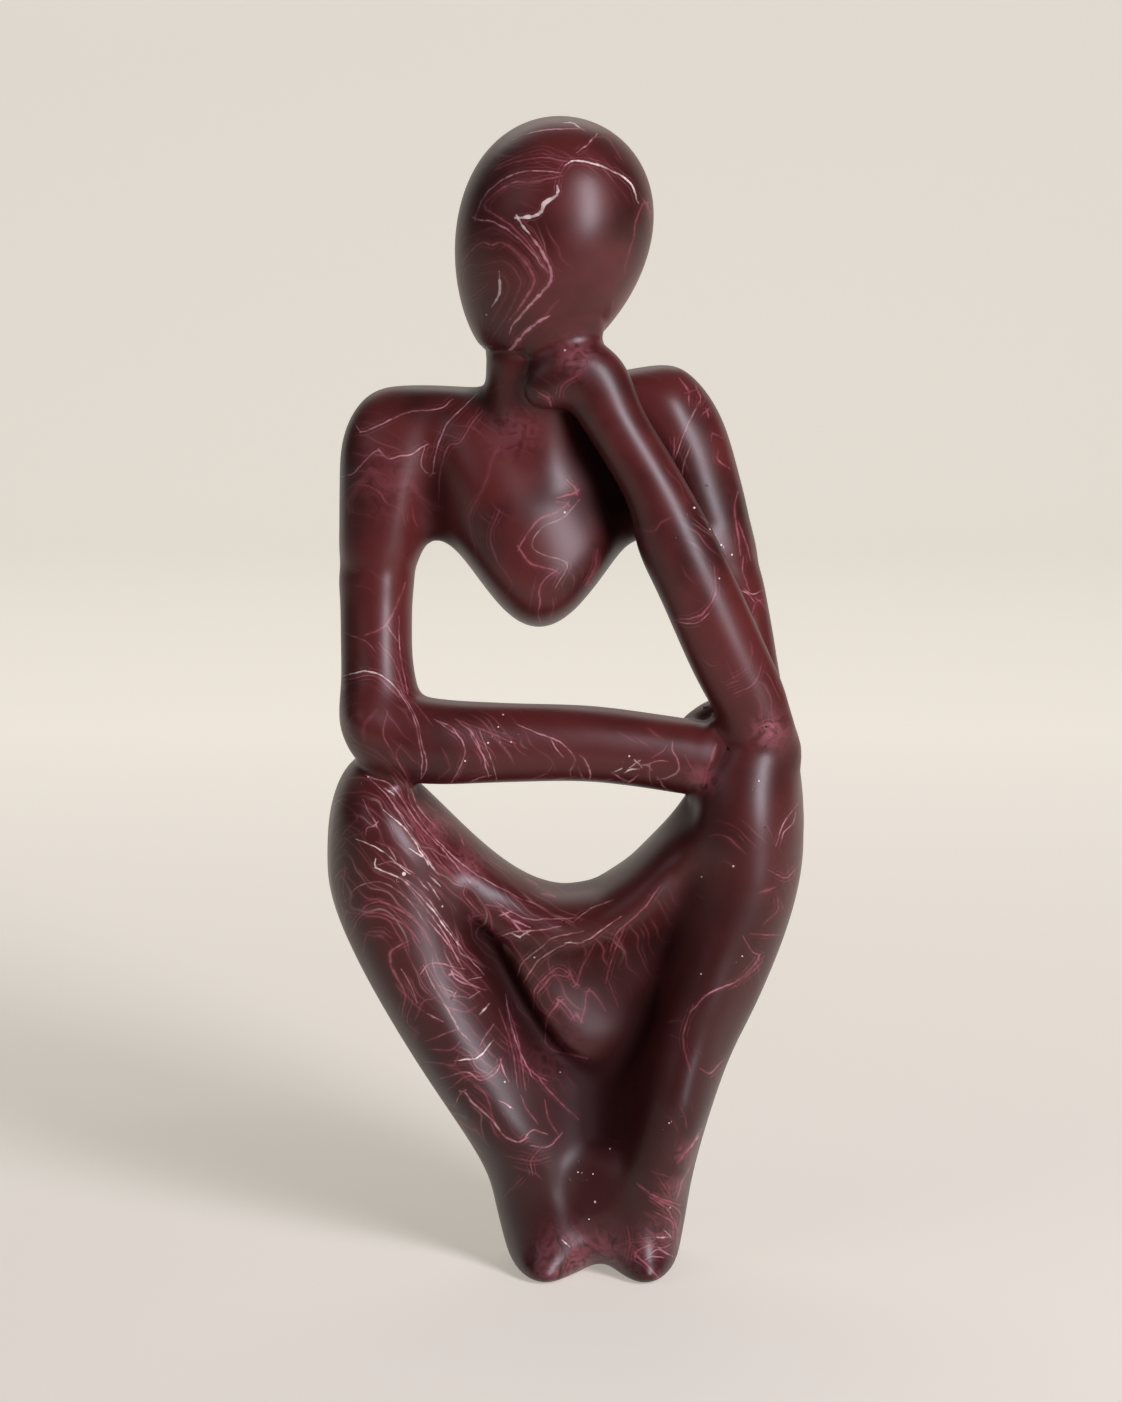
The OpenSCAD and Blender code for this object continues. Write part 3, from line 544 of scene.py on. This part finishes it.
        ("pink", 2, [(656, 1199), (676, 1208), (681, 1216)]),
        ("pink", 2, [(659, 1214), (672, 1222), (673, 1236)]),
        ("pink", 3, [(681, 1220), (677, 1240), (679, 1252)]),
        ("cream", 2.2, [(660, 1237), (666, 1237)]),
        ("cream", 2, [(667, 1233), (669, 1235)]),
        ("pink", 2.5, [(653, 1244), (640, 1249), (635, 1254), (646, 1264), (660, 1279)]),
        ("pink", 2.2, [(660, 1279), (669, 1282), (671, 1274)]),
        ("rose", 2, [(648, 1258), (652, 1256), (661, 1257)]),
        ("rose", 2, [(652, 1252), (658, 1249), (670, 1255)]),
        ("rose", 1.6, [(656, 1247), (662, 1248), (668, 1245)]),
        ("dusk", 1.5, [(628, 1229), (630, 1243), (627, 1260)]),
        ("dusk", 1.5, [(634, 1242), (648, 1241)]),
        ("pink", 1.3, [(702, 1070), (710, 1073), (722, 1061)]),
        ("cream", 2, [(565, 1242), (567, 1244)]),
        ("dusk", 1.2, [(660, 1180), (667, 1191)]),
        ("dusk", 1.2, [(654, 1172), (666, 1176)]),
        ("dusk", 1.2, [(507, 1156), (532, 1161), (546, 1158)]),
        ("dusk", 1.2, [(506, 1194), (520, 1180)]),
    ],
}
tints = {"dusk": 0.0, "pink": 0.3, "buff": 0.55, "rose": 0.75, "cream": 1.0}
vein = {
    "layers": 8,    # veins of one layer keep clear of each other
    "apart": 2.8,   # mm between two veins of a layer
    "step": 0.45,   # mm between the points of a drawn vein
    "reach": 2.4,   # mm beside a vein that are written
    "turn": 70,     # degrees, a sharper bend starts a new vein
    "tip": 0.45,    # share of its width that a vein has at its tips
    "facing": 0.3,  # a vein fades out as the skin faces the view less than this
    "lost": 3.0,    # mm that its distance has gained by then
    "none": 9.0,    # mm, the distance where there is no vein
}


def drawnVein(points):
    # a smooth line through the points, cut where it bends too sharply to tell its sides apart
    p = np.array(points, float)
    p = np.vstack([2 * p[0] - p[1], p, 2 * p[-1] - p[-2]])
    line = []
    for a, b, c, d in zip(p, p[1:], p[2:], p[3:]):
        count = max(2, int(np.linalg.norm(c - b) / vein["step"]))
        t = (np.arange(count) / count)[:, None]
        bow = (2 * a - 5 * b + 4 * c - d) * t ** 2 / 2
        twist = (3 * b - a - 3 * c + d) * t ** 3 / 2
        line.append(b + (c - a) * t / 2 + bow + twist)
    line = np.vstack(line + [p[-2:-1]])
    runs = np.diff(line, axis=0)
    heading = np.unwrap(np.arctan2(runs[:, 1], runs[:, 0]))
    cuts = [0]
    for i in range(1, len(heading)):
        bend = abs(heading[i] - heading[max(cuts[-1], i - 4)])
        if bend > math.radians(vein["turn"]) and i - cuts[-1] > 2:
            cuts.append(i)
    last = len(line) - 1
    cuts.append(last)
    return [(line[a:b + 1], a / last, b / last) for a, b in zip(cuts, cuts[1:]) if b > a]


def veinLayers(name):
    layers = [[] for i in range(vein["layers"])]
    for group, strokes in veins.items():
        if name not in group.split():
            continue
        for tint, width, points in strokes:
            half = round(width / pick["scale"], 2) / 2
            for line, start, end in drawnVein([fromPick(x, y) for x, y in points]):
                room = []
                for layer in layers:
                    gaps = [np.linalg.norm(line[:, None] - other[0][None], axis=2).min() for other in layer]
                    room.append(min(gaps, default=math.inf))
                best = next((i for i, gap in enumerate(room) if gap > vein["apart"]), int(np.argmax(room)))
                layers[best].append((line, start, end, half, tints[tint]))
    return layers


def writeVeins(mesh, name, points, normals):
    flat = onViewPlane(points)
    # veins end where the skin turns away from the view
    turned = np.clip((vein["facing"] + normals @ viewAlong) / vein["facing"], 0, 1) * vein["lost"]
    noVein = np.array([vein["none"], vein["none"], 0.0, 0.0], np.float32)
    for i, layer in enumerate(veinLayers(name)):
        values = np.tile(noVein, (len(points), 1))
        for line, start, end, half, tint in layer:
            near = (flat > line.min(axis=0) - vein["reach"]) & (flat < line.max(axis=0) + vein["reach"])
            index = np.flatnonzero(np.all(near, axis=1) & (turned < vein["lost"]))
            a, run = line[:-1], np.diff(line, axis=0)
            rel = flat[index][:, None] - a[None]
            along = np.clip((rel * run).sum(axis=2) / (run * run).sum(axis=1), 0, 1)
            away = np.linalg.norm(rel - along[:, :, None] * run, axis=2)
            nearest = away.argmin(axis=1)
            row = np.arange(len(index))
            distance = away[row, nearest]
            r, q = run[nearest], rel[row, nearest]
            across = (r[:, 0] * q[:, 1] - r[:, 1] * q[:, 0]) / np.linalg.norm(r, axis=1)
            t = start + (end - start) * (nearest + along[row, nearest]) / len(run)
            taper = vein["tip"] + (1 - vein["tip"]) * np.sqrt(np.clip(4 * t * (1 - t), 0, 1))
            closer = distance < np.minimum(values[index, 1], vein["reach"])
            picked = index[closer]
            values[picked, 0] = across[closer]
            values[picked, 1] = distance[closer] + turned[picked]
            values[picked, 2] = (half * taper)[closer]
            values[picked, 3] = tint
        layerData = mesh.attributes.new("vein%d" % i, "FLOAT_COLOR", "POINT").data
        layerData.foreach_set("color", values.reshape(-1))


# Where fine threads lie dense and where pink washes through: middle on the view plane, reach in mm, amount
clouds = [((-40, 92), 26, 1.0), ((-25, 62), 20, 0.9), ((-12, 86), 18, 0.8), ((10, 84), 14, 0.6),
          ((-41, 122), 12, 0.9), ((-42, 178), 16, 0.3), ((-18, 238), 16, 0.5), ((33, 168), 12, 0.4),
          ((-18, 34), 12, 0.7), ((24, 12), 8, 0.3), ((20, 115), 12, 0.5), ((-10, 126), 20, 0.5),
          ((4, 62), 14, 0.3)]
washes = [((1, 2), 7, 0.7), ((9, 4), 5, 0.6), ((-12, 190.5), 5, 0.5), ((2.5, 207), 4, 0.6),
          ((31, 111.5), 3, 0.6), ((46, 122.5), 3.5, 0.8), ((21, 8), 4, 0.4), ((24.5, 19), 3, 0.4),
          ((27, 27), 2.5, 0.5), ((-40, 178), 7, 0.2), ((-2, 50), 5, 0.35), ((-30, 101), 4, 0.5),
          ((-22, 92), 4, 0.5)]
# Specks of white filler and open pits on the front: middle, as picked, and size in mm
dots = {
    "cream": [(488, 743, 0.5), (498, 727, 0.4), (518, 735, 0.4), (511, 742, 0.4), (465, 761, 0.5),
              (505, 1082, 0.5), (510, 1107, 0.5), (404, 874, 1.1), (368, 777, 0.5), (560, 1072, 0.4),
              (578, 1172, 0.4), (593, 1174, 0.4), (589, 1219, 0.4), (669, 1123, 0.4), (694, 508, 0.6),
              (710, 529, 0.5), (721, 545, 0.5), (732, 555, 0.5), (629, 756, 0.5), (759, 781, 0.4),
              (742, 956, 0.4), (701, 974, 0.4)],
    "pit": [(766, 727, 0.7), (765, 828, 0.6), (682, 1115, 0.6), (706, 486, 0.7), (677, 537, 0.6)],
}
poured = {
    "sideways": 0.5,   # share of the picked pour on skin that faces sideways
    "forward": 1.4,    # how fast that share grows as it turns to the front
    "dotReach": 2.4,   # mm round a dot that are written
    "dotFacing": 0.2,  # how far the skin has to face forward for that
    "none": 9.0,       # mm, the way to a dot where there is none
}


def writePour(mesh, points, normals):
    flat = onViewPlane(points)
    front = np.clip(poured["sideways"] - poured["forward"] * normals[:, 1], 0, 1)
    for key, spots, ground, behind in (("pour", clouds, 0.12, 0.6), ("wash", washes, 0.0, 0.1)):
        amount = np.full(len(points), ground)
        for middle, reach, most in spots:
            away = np.linalg.norm(flat - np.array(middle), axis=1) / reach
            amount = np.maximum(amount, most * np.exp(-away ** 2))
        amount = front * amount + (1 - front) * behind
        mesh.attributes.new(key, "FLOAT", "POINT").data.foreach_set("value", amount.astype(np.float32))
    # how deep a point lies in a hollow, for the painted shade there and its duller, unbuffed wax
    deep = np.clip(-sample(hollows, points) / skin["hollowDepth"], 0, 1)
    mesh.attributes.new("hollow", "FLOAT", "POINT").data.foreach_set("value", deep.astype(np.float32))
    # the way to a dot close by, half its size, and 1 for a pit
    noDot = np.array([poured["none"], poured["none"], 0.0, 0.0], np.float32)
    values = np.tile(noDot, (len(points), 1))
    for kind, picked in dots.items():
        for x, y, size in picked:
            way = flat - np.array(fromPick(x, y))
            near = np.linalg.norm(way, axis=1) < poured["dotReach"]
            near &= normals[:, 1] < -poured["dotFacing"]
            values[near, :2] = way[near]
            values[near, 2:] = size / 2, kind == "pit"
    mesh.attributes.new("dots", "FLOAT_COLOR", "POINT").data.foreach_set("color", values.reshape(-1))


jesmonite = bpy.data.materials.new("jesmonite_cast_marbled")
jesmonite.use_nodes = True
for name in castings:
    points, quads = castPiece(name)
    mesh = bpy.data.meshes.new(name + "_cast")
    mesh.from_pydata((points * mm).tolist(), [], quads.tolist())
    mesh.update()
    mesh.polygons.foreach_set("use_smooth", np.ones(len(mesh.polygons), bool))
    # the skin is shaded by the field's own slope, the seam faces by their own
    normals = steepest(slopes, points)
    normals /= np.linalg.norm(normals, axis=1, keepdims=True)
    skinFace = sample(figure, points[quads].mean(axis=1)) > -skin["skinFace"] * skin["voxel"]
    cornerNormals = np.where(np.repeat(skinFace, 4)[:, None], normals[quads.reshape(-1)], 0.0)
    mesh.normals_split_custom_set(cornerNormals.tolist())
    writeVeins(mesh, name, points, normals)
    writePour(mesh, points, normals)
    piece = bpy.data.objects.new(name + "_cast", mesh)
    scene.collection.objects.link(piece)
    mesh.materials.append(jesmonite)
    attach(piece, "root")
    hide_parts(name)
    print("cast piece", name, len(mesh.polygons), "faces")

# Jesmonite, acrylic gypsum poured in a mould and wax sealed: dense burgundy with a satin sheen, threads of
# pink and cream where the colours were only half stirred, a few specks of filler and open pinholes
cast = {
    "dark": "#371010", "body": "#58201f", "pink": "#96525a", "dusk": "#6f343a", "buff": "#a08378",
    "rose": "#bb868c", "cream": "#e9d9d0", "pit": "#1c0808",
    "cloud": 24.0,          # mm, size of the darker and lighter clouds
    "rise": (40.0, 150.0),  # mm, heights over which the painted shade towards the feet gives way to the full colour
    "streak": 3.0,          # mm, size of the streaks in a pink wash
    "thread": 2.6,          # mm between two fine threads
    "hair": 4.2,            # mm between two hairlines
    "bend": 18.0,           # mm, size of the threads' bends
    "patch": 13.0,          # mm, size of the patches with threads
    "wobble": 2.2,          # mm, unevenness along a poured vein
    "uneven": 1.7,          # mm, how soon a vein thins and swells
    "fade": 7.0,            # mm, how soon a vein fades and returns
    "echo": 0.42,           # mm, half the distance between a vein and the thin line beside it
    "speck": 3.4,           # mm between specks of filler
    "pin": 4.6,             # mm between pinholes, about 0.4 mm wide
    "orange": 2.6,          # mm, soft waviness of the sealed surface
    "sheen": 6.0,           # mm, size of the duller and glossier places
    "rough": (0.33, 0.41),
    "gloss": (0.42, 0.1),   # specular level, buffed and in the hollows
    "paintedHollowShade": 0.75,     # painted shade: how far the deepest hollows go to the pits' colour
    "hollowDull": 0.25,     # roughness that they add
}
tree = jesmonite.node_tree
tree.nodes.clear()
place = addNode("TexCoord", out="Object")
milli = addNode("VectorMath", {"operation": "SCALE", "Scale": 1 / mm}, i0=place)
pour = addNode("Attribute", {"attribute_name": "pour"}, out="Fac")
wash = addNode("Attribute", {"attribute_name": "wash"}, out="Fac")
cloud = addNode("TexNoise", {"Scale": 1 / cast["cloud"], "Detail": 3.0}, Vector=milli)
cloud = addNode("MapRange", softStep, Value=cloud, From_Min=0.3, From_Max=0.58)
# painted shade: the pour's colour goes darker towards the feet, where less light reaches
rise = addNode("SeparateXYZ", out=2, i0=milli)
rise = addNode("MapRange", Value=rise, From_Min=cast["rise"][0], From_Max=cast["rise"][1])
cloud = addNode("Math", times, i0=cloud, i1=rise)
colour = addNode("Mix", rgba, 2, i0=cloud, i6=linear(cast["dark"]), i7=linear(cast["body"]))
# pink washed through the burgundy
streaks = addNode("TexNoise", {"Scale": 1 / cast["streak"], "Detail": 3.0, "Distortion": 1.5}, Vector=milli)
streaks = addNode("MapRange", softStep, Value=streaks, From_Min=0.3, From_Max=0.62)
washed = addNode("Math", times, i0=streaks, i1=wash)
colour = addNode("Mix", rgba, 2, i0=washed, i6=colour, i7=linear(cast["pink"]))
# fine threads: bands bent by noise, in patches
spread = addNode("TexNoise", {"Scale": 1 / cast["patch"], "Detail": 2.0}, Vector=milli)
for size, tint, sparse, most in ((cast["thread"], "pink", 0.56, 0.5), (cast["hair"], "buff", 0.66, 0.6)):
    # the scale at which diagonal bands are that size apart
    scale = 2 * math.pi / (10 * math.sqrt(3) * size)
    bands = addNode("TexWave", {"bands_direction": "DIAGONAL", "Scale": scale, "Distortion": 13.0,
                                "Detail": 2.0, "Detail Scale": 1 / cast["bend"] / scale},
                    out="Fac", Vector=milli)
    dense = addNode("Math", timesPlus, i0=pour, i1=0.3, i2=spread)
    dense = addNode("MapRange", softStep, Value=dense, From_Min=sparse, From_Max=sparse + 0.3)
    broad = addNode("MapRange", softStep, Value=bands, From_Min=0.6, From_Max=1.0, To_Max=0.3)
    broad = addNode("Math", times, i0=broad, i1=dense)
    colour = addNode("Mix", rgba, 2, i0=broad, i6=colour, i7=linear(cast["dusk"]))
    thin = addNode("MapRange", softStep, Value=bands, From_Min=0.965, From_Max=0.998, To_Max=most)
    thin = addNode("Math", times, i0=thin, i1=dense)
    colour = addNode("Mix", rgba, 2, i0=thin, i6=colour, i7=linear(cast[tint]))
# the poured veins, by layers: a line of uneven width and strength, a dusky edge and a thin line beside it
wobble = addNode("TexNoise", {"Scale": 1 / cast["wobble"], "Detail": 2.0}, Vector=milli)
wobble = addNode("Math", timesPlus, i0=wobble, i1=0.55, i2=-0.275)
uneven = addNode("TexNoise", {"Scale": 1 / cast["uneven"], "Detail": 1.0}, Vector=milli)
uneven = addNode("MapRange", softStep, Value=uneven, From_Min=0.25, From_Max=0.65)
fade = addNode("TexNoise", {"Scale": 1 / cast["fade"], "Detail": 1.0}, Vector=milli)
fade = addNode("MapRange", softStep, Value=fade, From_Min=0.36, From_Max=0.58, To_Min=0.45)
strength = addNode("Math", timesPlus, i0=uneven, i1=0.5, i2=0.4)
strength = addNode("Math", times, i0=strength, i1=fade)
swell = addNode("Math", timesPlus, i0=uneven, i1=0.55, i2=0.4)
beside = addNode("MapRange", softStep, Value=spread, From_Min=0.42, From_Max=0.6)
for i in range(vein["layers"]):
    layer = addNode("Attribute", {"attribute_name": "vein%d" % i}, out="Vector")
    across = addNode("SeparateXYZ", i0=layer)
    away, half = across.node.outputs[1], across.node.outputs[2]
    tint = addNode("ValToRGB", i0=layer.node.outputs["Alpha"])
    stops = tint.node.color_ramp.elements
    stops[0].color = linear(cast["dusk"])
    stops[1].color = linear(cast["cream"])
    for name in ("pink", "buff", "rose"):
        stops.new(tints[name]).color = linear(cast[name])
    off = addNode("Math", {"operation": "ADD"}, i0=across, i1=wobble)
    off = addNode("Math", {"operation": "ABSOLUTE"}, i0=off)
    there = addNode("MapRange", softStep, Value=half, From_Min=0.0, From_Max=0.04)
    inside = addNode("MapRange", softStep, Value=away, From_Min=1.1, From_Max=0.65)
    inside = addNode("Math", times, i0=inside, i1=there)
    width = addNode("Math", times, i0=half, i1=swell)
    outer = addNode("Math", {"operation": "ADD"}, i0=width, i1=0.07)
    inner = addNode("Math", {"operation": "SUBTRACT"}, i0=width, i1=0.1)
    line = addNode("MapRange", softStep, Value=off, From_Min=outer, From_Max=inner)
    line = addNode("Math", times, i0=line, i1=inside)
    line = addNode("Math", times, i0=line, i1=strength)
    edge = addNode("Math", timesPlus, i0=half, i1=3.0, i2=0.2)
    glow = addNode("MapRange", softStep, Value=off, From_Min=edge, From_Max=0.0, To_Max=0.35)
    glow = addNode("Math", times, i0=glow, i1=inside)
    colour = addNode("Mix", rgba, 2, i0=glow, i6=colour, i7=linear(cast["dusk"]))
    echo = addNode("Math", timesPlus, i0=wobble, i1=1.2, i2=off)
    echo = addNode("Math", {"operation": "PINGPONG"}, i0=echo, i1=cast["echo"])
    echo = addNode("MapRange", softStep, Value=echo, From_Min=0.13, From_Max=0.03)
    near = addNode("MapRange", softStep, Value=away, From_Min=1.7, From_Max=0.9, To_Max=0.45)
    echo = addNode("Math", times, i0=echo, i1=near)
    echo = addNode("Math", times, i0=echo, i1=strength)
    echo = addNode("Math", times, i0=echo, i1=there)
    echo = addNode("Math", times, i0=echo, i1=beside)
    colour = addNode("Mix", rgba, 2, i0=echo, i6=colour, i7=linear(cast["pink"]))
    colour = addNode("Mix", rgba, 2, i0=line, i6=colour, i7=tint)
# specks of white filler and open pinholes, scattered and at their picked places
specks = addNode("TexVoronoi", {"Scale": 1 / cast["speck"]}, Vector=milli)
rare = addNode("SeparateColor", i0=specks.node.outputs["Color"])
rare = addNode("Math", {"operation": "GREATER_THAN"}, i0=rare, i1=0.95)
speck = addNode("MapRange", softStep, Value=specks, From_Min=0.09, From_Max=0.05, To_Max=0.7)
speck = addNode("Math", times, i0=speck, i1=rare)
pins = addNode("TexVoronoi", {"Scale": 1 / cast["pin"]}, Vector=milli)
rare = addNode("SeparateColor", out=1, i0=pins.node.outputs["Color"])
rare = addNode("Math", {"operation": "GREATER_THAN"}, i0=rare, i1=0.82)
pin = addNode("MapRange", softStep, Value=pins, From_Min=0.075, From_Max=0.035)
pin = addNode("Math", times, i0=pin, i1=rare)
dot = addNode("Attribute", {"attribute_name": "dots"}, out="Vector")
kind = dot.node.outputs["Alpha"]
dotX = addNode("SeparateXYZ", i0=dot)
far = addNode("CombineXYZ", i0=dotX, i1=dotX.node.outputs[1])
far = addNode("VectorMath", {"operation": "LENGTH"}, out=1, i0=far)
rim = addNode("Math", times, i0=dotX.node.outputs[2], i1=0.55)
dot = addNode("MapRange", softStep, Value=far, From_Min=dotX.node.outputs[2], From_Max=rim)
pitted = addNode("Math", times, i0=dot, i1=kind)
pin = addNode("Math", {"operation": "MAXIMUM"}, i0=pin, i1=pitted)
dot = addNode("Math", {"operation": "SUBTRACT"}, i0=dot, i1=pitted)
speck = addNode("Math", {"operation": "MAXIMUM"}, i0=speck, i1=dot)
colour = addNode("Mix", rgba, 2, i0=speck, i6=colour, i7=linear(cast["cream"]))
colour = addNode("Mix", rgba, 2, i0=pin, i6=colour, i7=linear(cast["pit"]))
# painted shade: the hollows go darker towards the pits' colour; they can't be buffed, so they are duller
# too
hollow = addNode("Attribute", {"attribute_name": "hollow"}, out="Fac")
deep = addNode("Math", times, i0=hollow, i1=cast["paintedHollowShade"])
colour = addNode("Mix", rgba, 2, i0=deep, i6=colour, i7=linear(cast["pit"]))
wavy = addNode("TexNoise", {"Scale": 1 / cast["orange"], "Detail": 2.0}, Vector=milli)
height = addNode("Math", times, i0=wavy, i1=0.1)
height = addNode("Math", {"operation": "SUBTRACT"}, i0=height, i1=pin)
bump = addNode("Bump", {"Strength": 0.25, "Distance": 0.0004}, Height=height)
rough = addNode("TexNoise", {"Scale": 1 / cast["sheen"], "Detail": 3.0}, Vector=milli)
rough = addNode("MapRange", Value=rough, To_Min=cast["rough"][0], To_Max=cast["rough"][1])
rough = addNode("Math", timesPlus, i0=hollow, i1=cast["hollowDull"], i2=rough)
gloss = addNode("MapRange", Value=hollow, From_Min=0.0, From_Max=0.8, To_Min=cast["gloss"][0],
                To_Max=cast["gloss"][1])
shader = addNode("BsdfPrincipled", {"IOR": 1.5}, Base_Color=colour, Roughness=rough,
                 Specular_IOR_Level=gloss, Normal=bump)
addNode("OutputMaterial", Surface=shader)
print("jesmonite material with", len(tree.nodes), "nodes")

# Drawn stainless steel, bright and plain, hidden inside the castings
dowel = {"colour": "#b9bcc0", "roughness": 0.3}
steel = bpy.data.materials.new("stainless_steel_drawn")
steel.use_nodes = True
tree = steel.node_tree
tree.nodes.clear()
shader = addNode("BsdfPrincipled", {"Metallic": 1.0}, Roughness=dowel["roughness"],
                 Base_Color=linear(dowel["colour"]))
addNode("OutputMaterial", Surface=shader)
for name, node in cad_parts.items():
    if name not in castings:
        node.data.materials.clear()
        node.data.materials.append(steel)
print("dowels in steel")

# Paper sweep behind the figure
stage = {
    "floor": "#d5cfc5",
    "width": 5.0,              # m
    "front": -0.34,            # m, where the paper starts
    "back": 2.1,               # m, where it stands upright
    "bend": 0.7,               # m, radius of its bend
    "steps": 24,
    "height": 2.4,             # m
    "lift": (0.48, 0.9),       # how much paler it is seen, near and far
    "liftOver": (-0.1, 0.75),  # m, from where to where that grows
}
bendFrom = stage["back"] - stage["bend"]
profile = [(stage["front"], 0.0), (bendFrom, 0.0)]
for i in range(1, stage["steps"] + 1):
    a = math.pi / 2 * i / stage["steps"]
    profile.append((bendFrom + stage["bend"] * math.sin(a), stage["bend"] * (1 - math.cos(a))))
profile.append((stage["back"], stage["height"]))
sweepMesh = bpy.data.meshes.new("paper_sweep")
corners = [(side * stage["width"] / 2, y, z) for y, z in profile for side in (-1, 1)]
faces = [(2 * i, 2 * i + 1, 2 * i + 3, 2 * i + 2) for i in range(len(profile) - 1)]
sweepMesh.from_pydata(corners, [], faces)
sweepMesh.polygons.foreach_set("use_smooth", [True] * len(sweepMesh.polygons))
sweep = bpy.data.objects.new("paper_sweep", sweepMesh)
scene.collection.objects.link(sweep)
# matte paper that the camera, gloss and glass see at its own pale level, so that the lamps can stay modest
paper = bpy.data.materials.new("paper_matte")
paper.use_nodes = True
tree = paper.node_tree
tree.nodes.clear()
path = addNode("LightPath", out="Is Camera Ray")
seen = addNode("Math", {"operation": "MAXIMUM"}, i0=path, i1=path.node.outputs["Is Glossy Ray"])
seen = addNode("Math", {"operation": "MAXIMUM"}, i0=seen, i1=path.node.outputs["Is Transmission Ray"])
where = addNode("TexCoord", out="Object")
depth = addNode("SeparateXYZ", out=1, i0=where)
lifted = addNode("MapRange", Value=depth, From_Min=stage["liftOver"][0], From_Max=stage["liftOver"][1],
                 To_Min=stage["lift"][0], To_Max=stage["lift"][1])
lifted = addNode("Math", times, i0=seen, i1=lifted)
shader = addNode("BsdfPrincipled", {"Roughness": 0.9, "Specular IOR Level": 0.0}, Emission_Strength=lifted,
                 Base_Color=linear(stage["floor"]), Emission_Color=linear(stage["floor"]))
addNode("OutputMaterial", Surface=shader)
sweepMesh.materials.append(paper)

# Soft box from the front right, weak ones from the left and from behind, and a pale room
lamps = {
    "key": {"at": (0.6, -0.78, 0.46), "size": (0.27, 0.86), "watts": 14, "colour": "#f3effa"},
    "fill": {"at": (-1.1, -0.9, 0.9), "size": (0.9, 0.9), "watts": 2, "colour": "#f4f4ff"},
    "back": {"at": (-0.2, 1.0, 1.2), "size": (1.4, 0.7), "watts": 4, "colour": "#fbf6f0"},
}
aim = Vector((0, 0, 0.13))
for name, lamp in lamps.items():
    light = bpy.data.lights.new(name, "AREA")
    light.shape = "RECTANGLE"
    light.size, light.size_y = lamp["size"]
    light.energy = lamp["watts"]
    light.color = linear(lamp["colour"])[:3]
    box = bpy.data.objects.new(name, light)
    box.location = lamp["at"]
    box.rotation_euler = (aim - box.location).to_track_quat("-Z", "Y").to_euler()
    scene.collection.objects.link(box)
room = {"colour": "#f2f0ee", "strength": 0.08}
world = bpy.data.worlds.new("pale_room")
world.use_nodes = True
world.node_tree.nodes["Background"].inputs[0].default_value = linear(room["colour"])
world.node_tree.nodes["Background"].inputs[1].default_value = room["strength"]
scene.world = world
scene.view_settings.view_transform = "Standard"

# Camera at the photo's height and distance
camera = bpy.data.cameras.new("camera")
camera.sensor_fit = "VERTICAL"
camera.sensor_height = view["sensor"]
camera.lens = view["lens"]
camera.shift_x, camera.shift_y = view["shift"]
eye = bpy.data.objects.new("camera", camera)
target = Vector(view["target"])
eye.location = target - view["distance"] * Vector(viewAlong)
eye.rotation_euler = (target - eye.location).to_track_quat("-Z", "Y").to_euler()
scene.collection.objects.link(eye)
scene.camera = eye
print("lights and camera set")
